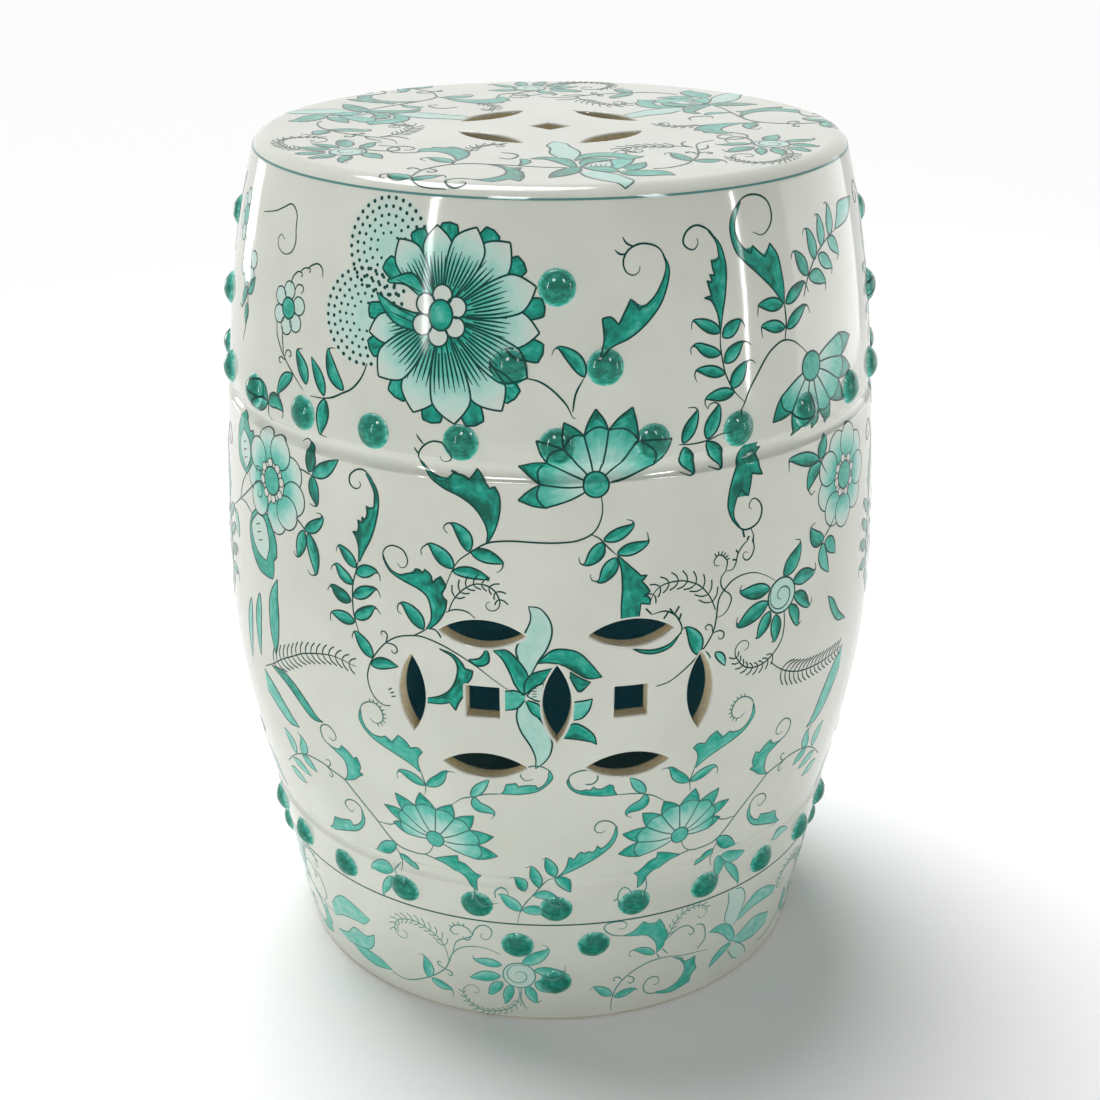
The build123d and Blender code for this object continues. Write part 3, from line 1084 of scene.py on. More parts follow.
blade([(-63, 410), (-7, 7), (-12, -4)], [(-66, 407.5), (-7, 4), (-9, 0)], (0.75, 0.5), 3)
for start, step in (((-66, 397), (-16, 5.5)), ((-66, 394.5), (-14, 4)), ((-65, 409), (-13, 4.5))):
    line([start, step], 0.7, level=3)
for spot in ((-54, 408.5), (-47, 403.5), (-47.5, 394.5), (-55.5, 390), (-63.5, 394.5), (-62, 404)):
    disc(spot, 4.8, 0.03, level=4)
disc(aster_eye, 5.8, 0.45, level=5, squash=1.2, edge_tone=0.8)

# Dotted cloud behind the aster
for cloud, reach in (((-84, 427.5), 21.5), ((-95, 394.5), 22)):
    disc(cloud, reach + 1.5, 0.2, level=-1, outline=0, edge_tone=0.05)
    for ring in np.arange(reach, 4, -3.8):
        dots = int(2 * pi * ring / 4.1)
        size = 0.66 + 0.34 * ring / reach
        rim = np.array([(size * cos(a), size * sin(a)) for a in np.linspace(0, 2 * pi, 9)])
        for i in range(dots):
            spot = np.array(toward(cloud, (i + 0.5 * (int(ring) % 2)) * 360 / dots, ring))
            lay("line", np.stack([spot + 0.02 * rim, spot + rim], axis=1), 0.5, -1)


def small_flower(centre):
    """Small flower of six round petals."""
    for angle in (90, 146, 208, 263, 316, 17):
        disc(toward(centre, angle, 8.6), 4.4, 0.1, level=0, outline=0.7)
    disc(centre, 5.1, 0.62, level=1)


# Small flower and tendrils at the left
small_flower((-146.5, 389.5))
line([(-156, 381), (1, -6), (3, -5), (3.5, -4), (7.5, -6.5), (9, -7)], 0.7)
line([(-150.5, 380), (0.5, -7), (1.5, -6)], 0.7)
tendril([(-147.5, 366), (1, 2.5)], 2.9, 0.8, -1, 0.7)
tendril([(-147.5, 364), (-2.5, 1)], 2.4, 0.75, 1, 0.7)
tendril([(-146, 401), (1.5, 4), (3.5, 3), (3, 0)], 1.4, 0.8, -1, 0.7)
tendril([(-139.5, 408), (3.5, 2.5), (3.5, 0.5)], 1.4, 0.8, -1, 0.7)
line([(-134, 410.5), (4, 2.5), (4, 1), (3, -2), (0.5, -3.5)], 0.8)
line([(-142, 399.5), (2, 2.5), (3.5, 0), (1, -2), (-2, -2)], 0.7)
line([(-182, 429), (14, 3), (8, 3), (7, 2.5), (5.5, -3.5), (1, -7), (1, -6), (-2.5, -5), (-6, -2),
    (-6, 2), (-1.5, 4), (3, 2.5), (3, -2)], 0.7)

# Leaf sprig under the cloud
line([(-92, 373), (-3, -7), (-5, -6), (-6, -3.5), (-7, -3.5), (-7, -1.5), (-7, -0.5)])
leaf([(-105.5, 358), (-6.5, 6.5), (-3.5, 9.5)], 6.4, [(1, 2.5), (3, 0.5)])
leaf([(-117.5, 353), (-4, 8.5), (-5.5, 8.5)], 5.8)
leaf([(-130, 356), (-2.5, 6.5), (-4.5, 7.5)], 6.6, [(1, 2), (2.5, 0.5)])
leaf([(-117, 351.5), (-2.5, -16)], 7.6, [(1.5, -2), (3, -0.5)])
leaf([(-140.5, 358.5), (-6.5, -4.5), (-5, -6.5)], 6.2, [(0, -1), (1.5, -1.5)])
leaf([(-162, 340.5), (-7, 4), (-12, 0.5)], 8, tones=(1, 0.8))
leaf([(-162, 339.5), (-6, -2.5), (-8, -5)], 6.5)
leaf([(-161, 339), (6, 3), (6, -2.5)], 7.5, [(1.5, -2.5), (-1, -2.5)])
line([(-161.5, 340), (1.5, -10)], 0.7)

# Stem and scroll leaf between the bosses
line([(-14, 373), (6, -1.5), (6, -4), (6, -6.5), (3, -6), (1.5, -0.5)])
line([(7, 357.5), (1.5, 8.5), (4, 7.5)])
leaf([(12.5, 373.5), (-4, 7.5), (-6.5, 5.5)], 6.2, [(-3, 0), (-1.5, -3)])
blade(cornered([(18.5, 381), (3, 8), (-0.5, 10.5)], [(4, 0.5), (3.5, -3.5)], [(2.5, 4.5), (3.5, 6.5)],
    [(2.5, -2), (1.5, -3)], [(1.5, 1.5), (2, 0.5)], [(4.5, 4), (4, 6.5), (2, 6), (-1.5, 6)]),
    [(18.5, 381), (6.5, 5.5), (9, 4), (8, 6), (7, 8), (4, 9), (1, 7), (-3, 6.5)])
line([(53, 423), (-3, 5.5), (-4.5, 2.5), (-6, 0.5), (-5.5, -2.5), (-2.5, -4.5), (1, -4.5), (3.5, -2),
    (3, 1.5), (0.5, 2.5)])
line([(37, 430.5), (-3.5, 1.5), (-2, 3)])
line([(33, 427.5), (-3, 0), (-2.5, 2)])


def fan_lotus(centre, tips, hub):
    """Lotus seen from the side: petals side by side round a hub, each with a deep pointed flap."""
    centre = np.asarray(centre, float)
    away = np.asarray(tips, float) - centre
    angle = np.unwrap(np.arctan2(away[:, 1], away[:, 0]))
    reach = np.hypot(away[:, 0], away[:, 1])
    spread = np.abs(np.diff(angle)).mean() / 2 * np.sign(angle[-1] - angle[0])
    spokes = np.concatenate([[angle[0] - spread], (angle[1:] + angle[:-1]) / 2, [angle[-1] + spread]])
    reaches = 0.7 * np.concatenate([reach[:1], (reach[1:] + reach[:-1]) / 2, reach[-1:]])
    corners = centre + reaches[:, None] * np.stack([np.cos(spokes), np.sin(spokes)], axis=1)
    edges = []
    for spoke, corner in zip(spokes, corners):
        across = np.array([corner[1] - centre[1], centre[0] - corner[0]])
        bow = 0.05 * np.sin(spoke - angle.mean()) * across
        edges.append(resampled(smooth([centre, (centre + corner) / 2 - bow, corner]), 24)[3:])
    s = np.linspace(0, 1, 6)
    rise = np.linspace(0, 1, 21)
    tone = 0.08
    for i, tip in enumerate(np.asarray(tips, float)):
        body = edges[i][:, None] * (1 - s)[:, None] + edges[i + 1][:, None] * s[:, None]
        arch = (rise**3)[:, None, None] * (0.3 * s * (1 - s))[:, None] * (tip - centre)
        lay("wash", body + arch, np.repeat((tone + (0.6 - tone) * rise**1.5)[:, None], 6, axis=1), 1)
        along = tip - centre
        out = 0.022 * np.array([-along[1], along[0]]) * np.sign(spread)
        flap_right = smooth([corners[i], (corners[i] + tip) / 2 - out, tip])
        flap_left = smooth([corners[i + 1], (corners[i + 1] + tip) / 2 + out, tip])
        rim = np.vstack([flap_right, flap_left[::-1][1:]])
        bow = (body + arch)[-1]
        wash(resampled(bow, len(rim)), rim, 0.7, 0.9, 1, across=3)
        for edge in (bow, flap_right, flap_left):
            line(edge, line_width, 0.9, 0.9)
    for edge in edges:
        line(edge, line_width, 0.7, 1)
    disc(centre, hub, 0.62, level=3)


def upper_lotus():
    """Lotus across the upper groove."""
    fan_lotus((17.5, 322.5), [(53, 342), (34.5, 358.5), (17.5, 358.5), (3, 352.5), (-9.5, 344),
        (-17.5, 331.5), (-17.5, 315.5)], 5.8)


upper_lotus()


def shoulder_sprig():
    """Scroll leaf on a sprig of paired leaves."""
    blade(cornered([(79, 389), (-0.5, 7), (-3, 7), (-4, 2)], [(4, 0.5)], [(-1, 3.5), (-1, 3.5)],
        [(2.5, -1)], [(0, 2), (-1, 1.5)], [(3, -0.5)], [(-1, 3.5), (-0.5, 3.5)], [(2.5, -1)], [(2, 2)],
        [(-1, 6.5), (-4, 5.5)]), [(79.5, 389), (1.5, 8), (2, 8), (1.5, 10), (-0.5, 7), (-2.5, 7),
        (-5.5, 5.5)])
    line([(80, 430.5), (-4, 4.5), (-6, 2.5), (-5.5, -2), (-2.5, -4.5), (2, -3), (3.5, -1), (2.5, 2.5),
        (-0.5, 2.5)], 1.0)
    line([(79.5, 389), (-0.5, -5), (0.5, -6), (1.5, -8), (2.5, -6), (3.5, -5.5), (5, -5)], 0.75)
    leaf([(79.5, 388.5), (-12.5, 6.5)], 5.4, [(-2.5, -0.5), (-0.5, -3)])
    leaf([(80.5, 386), (9.5, 6)], 6.6, [(2.5, -1), (1, -2.5)])
    leaf([(79, 378.5), (-6.5, 2), (-6, 3.5)], 5.2, [(-3, -1), (0, -3)])
    leaf([(81, 374), (9.5, 7.5)], 6.6, [(3.5, 0.5), (2.5, -2)])
    leaf([(81, 369), (-13.5, 3.5)], 5.2, [(-2.5, -2), (1, -3.5)])
    leaf([(84.5, 361.5), (8, 10)], 7, [(3.5, 1.5), (3, -2)])
    leaf([(86, 359.5), (-14, -0.5)], 5.8, [(-2, -2.5), (1.5, -3)])


shoulder_sprig()
line([(56.5, 338.5), (6.5, -0.5), (7, 0.5), (6, 1.5), (7, 1.5)], 0.75)
leaf([(58.5, 339), (7, 13)], 5.8, [(-0.5, 3), (-4, 0.5)])
leaf([(70.5, 339.5), (6.5, 13.5)], 7, [(-1.5, 3), (-3, -0.5), (-1, -2)])
leaf([(59, 337), (1.5, -6), (3, -6)], 6.8, [(-1.5, -2), (-5, 2)])
leaf([(70.5, 338), (5, -6), (3, -6)], 6.5, [(-1.5, -2.5), (-5, 2)])

# Leaf with a great curl, on the arched stem of the hanging lotus
blade([(119, 395.5), (-7, 8.5), (-8, 7.5), (-7, 6), (-5.5, 5.5), (-2.5, 7), (0, 6), (2.5, 5), (5, 4.5)],
    cornered([(119.5, 395.5), (0.5, 8.5), (-1, 7.5), (-1.5, 7), (-4.5, 6)], [(-2.5, -3.5), (-1.5, -2)],
    [(-3.5, 2.5), (-4, 3.5)], [(-1.5, -3.5)], [(-5, 4), (-3, 5.5), (0, 5), (2, 4.5), (3, 4.5)]))
line([(94, 442.5), (3.5, 3.5), (5.5, 1.5), (7, -1), (5, -3.5), (1.5, -6), (-2.5, -5), (-5.5, -3),
    (-6, 2)], 0.9)
line([(119.5, 395.5), (0.5, -8.5), (-1.5, -8.5)])
leaf([(118.5, 395.5), (-14.5, 2)], 6.2, [(-2, -1.5), (-0.5, -3.5)])
leaf([(120.5, 395.5), (13.5, 7)], 6.2, [(3, -1.5), (1.5, -3.5)])
leaf([(119, 384.5), (-14, 3)], 5.6, [(-1.5, -2.5), (0.5, -3)])
leaf([(120.5, 383.5), (13, 8)], 6, [(3.5, -0.5), (1.5, -3.5)])
line([(88.5, 348.5), (3, 4.5), (3.5, 6.5), (5, 6.5), (5, 6), (5, 4), (7, 2.5), (7, -1.5), (6, -4),
    (5, -4.5)])
hanging_eye = (137.5, 362)
fan_lotus(hanging_eye, [toward(hanging_eye, a, r) for a, r in ((217, 36), (245, 35), (273, 32), (293, 35),
    (321, 38.5), (345, 41.5), (8, 41))], 7.2)

# Leaf branch at the right, its green painted paler towards the stool's edge, standing in for the glaze's
# reflection that washes it out there
line([(134.5, 396), (3.5, 7), (7, 8), (8, 5), (9, 3.5), (9, 2)], 0.75)
leaf([(139, 405.5), (-7.5, 11.5)], 7, [(-3, 1), (-1.5, -3)])
leaf([(146.5, 411.5), (-1, 7), (-2.5, 7)], 7, [(-3, 1.5), (-2, -2.5)], (0.65, 0.45))
leaf([(154, 416.5), (1, 6.5), (-0.5, 7)], 7, [(-2, 2), (-1.5, -1)], (0.55, 0.35))
leaf([(163, 420), (2.5, 6), (0.5, 7)], 7, [(-1.5, 2.5), (-2.5, -0.5)], (0.5, 0.3))
leaf([(140, 404.5), (7, -1), (6.5, -3.5)], 7, [(1, -2), (-0.5, -2.5)], (0.65, 0.45))
leaf([(150, 413), (11.5, -7.5)], 6.8, [(1, -2), (-1, -2)], (0.55, 0.35))
leaf([(161, 418.5), (6, -3.5), (4, -4.5)], 7, [(0, -2), (-2, -1.5)], (0.5, 0.3))
blade([(171, 421.5), (5, 6.5), (3, 4.5), (9, 0.5), (15, -1.5)], [(171, 421.5), (10, 0.5), (11, 2),
    (11, 7.5)], (0.45, 0.25))
front_paintings = painting("front_shoulder_painting")
carried(front_paintings + half_turned(front_paintings))

# Belly painting: daisies, scroll leaves, fronds and a lily round the coins, in the same enamel
# under the glaze, its strokes broken off where the holes were cut.
drawing.update(surface="wall", radius=177.0)


def lobe(flower, spot, radius, level):
    """Round petal, deep green towards the flower's middle and pale outside."""
    angle = np.linspace(0, 2 * pi, 33)
    rings = np.linspace(0.02, 1, 6)
    rim = np.stack([np.cos(angle), np.sin(angle)], axis=1) * radius
    grid = np.asarray(spot) + rings[None, :, None] * rim[:, None]
    whole = np.hypot(spot[0] - flower[0], spot[1] - flower[1]) + radius
    away = np.hypot(grid[..., 0] - flower[0], grid[..., 1] - flower[1]) / whole
    lay("wash", grid, np.clip(0.95 - away, 0.06, 0.6), level)
    line(np.asarray(spot) + rim, 0.75, 1, 1, level)


def daisy(centre, petals):
    """Daisy with round petals and a ring of white beads round its eye."""
    for i, (angle, reach) in enumerate(petals):
        lobe(centre, toward(centre, angle, reach), 8.8, i % 2 if i else -1)
    for angle in range(10, 370, 45):
        disc(toward(centre, angle, 9.2), 2.3, 0.0, level=2, outline=0.55)
    disc(centre, 7.2, 0.6, level=3)


# Daisies at both sides, with leaf trios
daisy((-165, 300), ((25, 19), (66, 18), (106, 18), (146, 18), (186, 18), (226, 18), (285, 18.5),
    (317, 19), (348, 20)))
daisy((176, 298), ((195, 19), (155, 19), (115, 18), (75, 18), (35, 18), (355, 18), (315, 18), (265, 18.5),
    (230, 19)))
line([(-141, 313), (5, -0.5), (5, -1)], 0.8)
leaf([(-133.5, 313), (1, 7), (-1, 6)], 7, [(-3.5, 2.5), (-4, -2)], (1, 0.85))
leaf([(-131, 312), (9, 5), (8.5, 6.5)], 7.2)
leaf([(-131, 311.5), (1, -7), (2, -6)], 6.6, [(-1, -2), (-4, 0.5)], (0.8, 0.95))
line([(-143.5, 287), (4.5, -2.5), (4, -3)], 0.8)
leaf([(-136.5, 282.5), (7, 3.5), (5.5, 5)], 6, [(-1, 2.5), (-3, 0)])
leaf([(-137, 282), (-4.5, -14)], 7, [(-2.5, -1), (-1, 2)])
leaf([(-134, 281.5), (4, -9.5), (1.5, -9)], 7.2, [(-1, -2.5), (-3, -0.5), (-2, 2)])
line([(150, 314), (3, -4.5), (4, -5.5)], 0.8)
leaf([(150, 313.5), (-22, 5.5)], 7, [(-2.5, -2.5), (0, -3.5)])
leaf([(150.5, 313.5), (6, 11.5)], 7.5)
leaf([(152, 311), (-7, -2.5), (-4.5, -6.5)], 8, [(0.5, -3), (2, -2), (3, 1.5)])
line([(154, 271), (6, 4), (6, 5)], 0.8)
leaf([(154, 270.5), (-7, 2), (-4, 5.5)], 8, [(0, 2.5), (3.5, 1)])
leaf([(153, 268.5), (0.5, -8.5), (6, -9.5)], 7.5, None, (0.6, 0.4))
leaf([(155, 268.5), (5, -2.5), (6, -7)], 8, None, (0.65, 0.5))

# Two oval fruits at the left edge, each with a toothed tip and a pale hatched stone, on the daisy's stem
blade([(-180, 281.5), (-7.5, -6.5), (-3, -9.5), (3, -10), (7.5, -7.5), (8, -1.5), (7, 0.5)],
    cornered([(-180, 281.5), (10, -1), (5.5, -5.5), (3.5, -6.5), (0.5, -8)], [(-3, -3)], [(0, -5.5),
    (-1.5, -5)]), (0.7, 0.6))
blade([(-180.5, 278), (-7.5, -8), (2.5, -8.5), (6.5, -5), (8, -1.5)], [(-180.5, 278), (7.5, -0.5),
    (4, -5.5), (1.5, -8), (-3.5, -9)], (0.1, 0.1), 1)
blade([(-195, 294.5), (-11, 4), (-3.5, 8), (0.5, 9.5), (6, 10)], cornered([(-195, 294.5), (8, 8.5),
    (2, 10.5), (-1.5, 6.5)], [(-4.5, -1.5)], [(-4, 5), (-8, 2.5)]), (0.6, 0.7))
blade([(-195.5, 297), (-9, 6.5), (-0.5, 7.5), (4, 6)], [(-195.5, 297), (5.5, 7), (-0.5, 7), (-4, 4),
    (-6.5, 2)], (0.1, 0.1), 1)
for across, rise in ((-182, 271.5), (-181, 267.5), (-179.5, 263.5), (-200.5, 310), (-200, 306),
    (-199, 302)):
    line([(across, rise), (5, 2)], 0.7, level=1)
line([(-171.5, 299), (-11, -5.5), (-12.5, -9), (-10.5, -7), (-17, -10.5)], 0.8)
line([(-205.5, 277.5), (8.5, 1), (9, -3)], 0.7)
line([(-205.5, 277.5), (3.5, 9), (6, 8)], 0.7)
line([(-176.5, 297.5), (-0.5, 3), (-2, 3), (-3.5, -1.5), (1, -2.5)], 0.7)
line([(-178.5, 296), (3.5, -3.5), (-1, -4.5), (-4, 0), (1, 3)], 0.7)
leaf([(-217, 268), (5.5, -6.5), (2, -7.5)], 5.5, None, (0.4, 0.3))


def belly_sprig():
    """Scroll leaf on a sprig of paired leaves, at the left."""
    blade([(-100, 275), (3, 6), (4, 8), (3, 10), (1, 9), (-1.5, 6), (-4.5, 6)], cornered([(-100.5, 275),
        (0, 7), (-1.5, 5), (-2, 2.5)], [(3, 0.5)], [(0.5, 3), (-0.5, 3)], [(2.5, -1)], [(0, 3)],
        [(2, -1)], [(1, 3.5), (-0.5, 3.5)], [(2.5, -1), (2, 1.5)], [(0, 6.5), (-2, 4.5), (-3, 4.5)]),
        (0.75, 0.95))
    line([(-93, 318), (-4.5, 3.5), (-4.5, -0.5), (-4, -3.5), (0, -4), (3, -2), (3, 1), (0.5, 2), (-1, 1)],
        0.9)
    line([(-100.5, 276), (-1.5, -6), (-2, -7), (-0.5, -8), (0.5, -8), (2, -7), (1.5, -4)], 0.8)
    leaf([(-102, 271.5), (-9.5, 8.5)], 5.6, [(-2.5, -1), (-0.5, -2)])
    leaf([(-102, 268.5), (6, 2.5), (5, 1)], 6.2, [(2.5, -1.5), (0.5, -3)])
    leaf([(-104, 262.5), (-6, 3.5), (-4, 4)], 5.6, [(-3, -1), (-1, -2.5)])
    leaf([(-104, 256), (12, 6.5)], 6, [(3, -1), (1, -2.5)])
    leaf([(-105.5, 253), (-6.5, 2), (-5, 3)], 6.6, [(-2.5, -1), (-1, -2)], (1, 0.85))
    leaf([(-103.5, 245), (6, 3.5), (5, 4)], 6, [(2.5, 0), (2, -2.5)])
    leaf([(-103.5, 242.5), (-13, 1.5)], 6.2, [(-2.5, -1.5), (0, -3.5)])
    leaf([(-93.5, 225.5), (-9, 11)], 6.6, [(-2.5, -1), (-0.5, -2.5)])
    leaf([(-94.5, 221.5), (7.5, 2.5), (8, 0)], 6)


belly_sprig()
line([(-84.5, 201), (-4, -0.5), (-4.5, 2.5), (-3, 5), (-1, 7), (2, 7), (4, 7), (5.5, 6.5), (6.5, 4.5),
    (7, 2), (6, 0.5), (8, -2), (8, -3.5), (7, -4), (6, -4), (7, -5.5), (9, -6.5)], 0.75)
tendril([(-85.5, 235.5), (1, 3.5)], 2.7, 0.75, 1, 0.75)
tendril([(-85, 235.5), (3.5, 0)], 3.2, 0.8, -1, 0.75)
hairs([(-84.5, 213), (2.5, -3.5), (1.5, -4.5)], 2.6, 2.2, -1)

# Acanthus leaf with its curl, over the left coin
leaf([(-65, 246.5), (-4.5, 6.5), (-5.5, 5)], 6.8, [(-3, -0.5), (-0.5, -3.5), (2, -1.5)])
blade([(-63.5, 247), (2.5, 5), (0, 6), (-2, 6), (-5, 3.5), (-7, 2.5), (-6.5, 3), (-3.5, 4), (-1.5, 5)],
    cornered([(-62, 247), (5, 5), (3, 5.5), (1, 5.5)], [(-2, 2), (-0.5, 2)], [(2, 3.5), (-2.5, 4.5)],
    [(-2.5, -2), (-1.5, -2)], [(-1, 4), (-3, 2.5)], [(-1, -2)], [(-2, 1.5), (-2, 0)], [(-0.5, -2)],
    [(-4, -1), (-3.5, -1.5)], [(-5, 2), (-3, 4), (-1.5, 3.5)]), (0.7, 0.95))
line([(-86, 278.5), (-0.5, 3.5), (2, 3.5), (4, 1.5), (5, -1.5), (2.5, -4.5), (-1, -3.5), (-2.5, -1),
    (-2, 2)], 0.75)
line([(-70, 242.5), (4, 2.5), (3.5, 2.5)], 0.75)
line([(-62, 247.5), (3.5, -0.5), (2.5, -3.5)], 0.9, 0.5, 1)

# Great scroll leaf under the boss row, its branches and the long stem
blade(cornered([(-33, 294), (2.5, 4), (2.5, 7), (1, 7), (-0.5, 5.5), (-2, 4)], [(-1.5, -0.5), (-1, -0.5)],
    [(-3, 4), (-3.5, 4.5)], [(-1.5, -2.5), (-2, -2.5)], [(-4, 1.5), (-4.5, 0.5)], [(-1.5, -2.5)],
    [(-5, 0.5), (-5.5, 2), (-5, 5)]), [(-33.5, 294), (0.5, 5), (-2, 6), (-5, 6.5), (-7, 4.5), (-7.5, 3),
    (-7, 4.5), (-5, 5), (-1, 2.5)], (0.8, 0.95))
line([(-66, 327.5), (-1.5, 4), (0.5, 4), (3, 3.5), (4.5, 2), (5.5, -1), (3.5, -4), (-1, -3.5), (-3.5, -1),
    (-1.5, 2.5)], 0.9)
line([(-65, 339), (-2, 2), (-2, 2.5)], 0.8)
line([(-67.5, 334), (-2.5, 3)], 0.8)
line([(-51.5, 327), (3.5, -1)], 1.1, 1, 0.6)
line([(20.5, 319), (1, -8), (-1.5, -7), (-3.5, -5), (-6.5, -3), (-8, -1), (-10, 0), (-12, 0.5),
    (-8, -0.5), (-6, -1.5), (-7.5, -5), (-5.5, -4.5), (-3.5, -6), (-2.5, -6.5), (-2, -5.5)], 0.9)
leaf([(-42, 289), (-2, 7), (-5, 5.5)], 6.4, [(-3.5, 0.5), (-2, -2.5), (2, -2.5)])
leaf([(-41, 289), (7, -1.5), (7, -2.5)], 6.4, [(1.5, -1.5), (-1, -2.5), (-2, -1.5)])
leaf([(-49.5, 280), (-11, 10)], 7, [(-3.5, -0.5), (-2, -2.5), (0.5, -2.5)])
leaf([(-50, 278.5), (8.5, 0), (8, -2)], 5.4, [(1, -1.5)])
fern([(-52, 258), (2.5, 6), (4.5, 5.5), (6, 3.5), (6, -0.5), (4, -3), (2, -4.5)], 5.2, 4.0, 5, 0.8, -1,
    0.75)
line([(-53.5, 257), (4.5, 2), (6, -0.5), (4.5, -3.5)], 0.75)
line([(16.5, 298.5), (3.5, -2), (4, -4.5), (4.5, -4.5)], 0.8)
leaf([(22, 295.5), (7, 2.5), (6.5, 3.5)], 5.8, [(0.5, 2.5), (-3, 1)])
leaf([(21.5, 294.5), (-3, -5.5), (-4.5, -4.5)], 6.8, [(-3, 0), (-1, 3.5)])
leaf([(28.5, 288.5), (14, 4)], 5.8, [(1, 3), (-0.5, 2.5)])
leaf([(28, 286.5), (-3.5, -6), (-4, -5)], 6.8, [(-4, 0.5), (-1, 3)])
blade([(28.5, 287.5), (2, -7.5), (0.5, -10), (-0.5, -8), (0, -8)], cornered([(29, 287.5), (4, -4),
    (4, -4), (3, -3)], [(3, 0)], [(-2.5, -3)], [(2.5, -3), (1.5, -2.5)], [(-2.5, -1.5)], [(2.5, -2),
    (0, -3)], [(-4.5, 1)], [(-0.5, -4.5), (-0.5, -4)]), (0.75, 0.85))
blade([(35, 240), (6, -2), (7, -0.5), (7, 2), (5.5, 5)], [(35, 240), (6, -3.5), (7, -1), (7.5, 2.5),
    (5, 6.5)], (0.8, 0.7))
line([(60.5, 244.5), (0.5, 2.5), (-1.5, 4), (-2.5, 3.5), (-5, 2.5), (-6.5, -1)], 0.9)
for start, step in (((57, 254.5), (2.5, 4)), ((57, 254.5), (-2.5, 3.5)), ((54, 256.5), (-2.5, -3.5)),
    ((59.5, 251), (1, 3.5)), ((45.5, 256), (-3, 3.5))):
    line([start, step], 0.9, 0.6, 1)

# Lily behind the coins
blade([(-15, 220), (-3.5, 15), (-1, 5), (1.5, 5), (3.5, 6), (2, 6), (-1, 6)], [(-13, 226), (4, 8.5),
    (4, 6.5), (2.5, 8), (-1, 7), (-4.5, 6), (-5.5, 1)], (0.2, 0.16))
blade([(-18.5, 211), (-1, -7), (2, -8), (4.5, -8), (2.5, -7), (0, -6.5)], [(-14.5, 213), (4, -7), (5, -7),
    (3, -8), (-0.5, -7), (-3, -5.5), (-4.5, -4)], (0.22, 0.18))
blade([(-16, 216), (-4, 5.5), (-2.5, 6.5), (-3.5, 7), (-4.5, 4.5)], [(-13.5, 226), (-2, 4.5), (-4.5, 6),
    (-4.5, 3.5), (-6, -0.5)], (0.65, 0.9), 1)
blade([(-9.5, 233.5), (6.5, 6.5), (6, 1), (7, -2), (5.5, -5.5), (6, -8)], [(-9.5, 233.5), (5.5, 0.5),
    (7, -1.5), (6, -4), (6, -3.5), (6.5, 0.5)], (0.6, 0.9), 1)
blade([(6, 229), (5, -3.5), (5, -2.5)], [(6, 226.5), (2.5, -5.5), (2.5, -3), (5, 5)], (0.8, 0.9), 1)
blade([(-15.5, 216.5), (0, 6), (4, 5.5), (9.5, 3)], [(-15.5, 216.5), (4.5, 4.5), (4, 2.5), (5, 7.5)],
    (0.85, 0.65), 2)
blade([(-14.5, 216), (3.5, 4.5), (4.5, 2.5)], [(-14.5, 216), (4.5, -2.5), (3.5, 0.5), (0, 9)],
    (0.05, 0.12), 2)
for rise in (215.5, 217, 218.5, 220):
    line([(-12, rise), (2.5, 0.3)], 0.6, level=2)
blade([(-15, 216.5), (-5, 2), (-5, -0.5)], [(-15.5, 213.5), (-3.5, -4.5), (-6, -1.5)], (0.5, 0.6), 1)
blade([(-15, 213), (3, -6.5), (5, -3.5)], [(-14, 213.5), (5, -2), (3, -3.5)], (0.75, 0.55), 1)
blade([(8, 212.5), (5, 0.5), (4, 1)], [(8, 202.5), (4, 1), (3.5, 4.5), (1.5, 6)], (0.35, 0.5), 1)
blade([(4, 197), (4, 3.5), (5, -2), (5, -5), (1.5, -5.5)], [(3, 192.5), (7, -1), (6, -1.5), (3.5, -2)],
    (0.6, 0.85), 1)
blade([(-42.5, 233.5), (4.5, -3), (5, 2), (0.5, 4.5), (-1.5, 3.5)], [(-42.5, 233.5), (5, 1), (2.5, 3),
    (1, 3)], (0.8, 0.7), 1)
blade(cornered([(-57, 237.5), (6.5, -2), (4.5, -4), (1.5, -3)], [(4, -1)], [(-1, -4), (-2.5, -3.5)],
    [(2, -3), (-0.5, -3)], [(-3.5, -1.5)], [(-2, -3.5), (-1.5, -4)], [(-3, 4)], [(-4.5, -1.5),
    (-7, -0.5)]), [(-57, 237.5), (6.5, -3.5), (2.5, -5), (-1, -7), (-3, -6), (-5, -4), (-7, -2.5)],
    (0.75, 0.9), 1)

# Vine, fronds and spiral flower at the right
blade([(96, 333), (-5.5, -11), (-3.5, -10), (-1, -8), (2.5, -7), (4.5, -5)], cornered([(104, 333),
    (0.5, -3), (3, -0.5)], [(-3, -2.5)], [(0.5, -6), (2, -4.5)], [(-4, 1), (-2.5, 1)], [(-1, -5.5),
    (-1.5, -5.5)], [(-2.5, 2), (-1.5, 2)], [(-2.5, -3), (-2, -5.5), (0, -5), (3.5, -5.5)]), (0.8, 0.9))
line([(88, 298), (3, -4), (4, -3), (5, 0), (4.5, 2.5), (2, 5), (-1.5, 4.5), (-3.5, 2.5), (-2.5, -1.5),
    (-0.5, -2.5), (1.5, -1)], 1)
line([(94.5, 291), (1, -4)], 1.1, 1, 1)
line([(99.5, 290.5), (1.5, -3.5), (0, -3.5), (0.5, -3.5), (-2, -4), (-3, -1), (-2, 2.5), (1.5, 2),
    (2, -1)], 0.8)
line([(98, 285.5), (-4, -3), (-2.5, -3.5), (-1, -4), (-2, -3), (-4, 0)], 0.75)
for start, step in (((92, 279.5), (-1.5, 2)), ((90.5, 276.5), (-2, 0.5)), ((101, 286), (-0.5, -2.5)),
    ((97, 285.5), (1.5, 1.5))):
    line([start, step], 1.0, 0.7, 1)
line([(84.5, 272), (1, 4.5), (-2, 3), (-3, 1.5), (-2.5, -2.5), (0.5, -2.5), (2.5, -0.5)], 0.75)
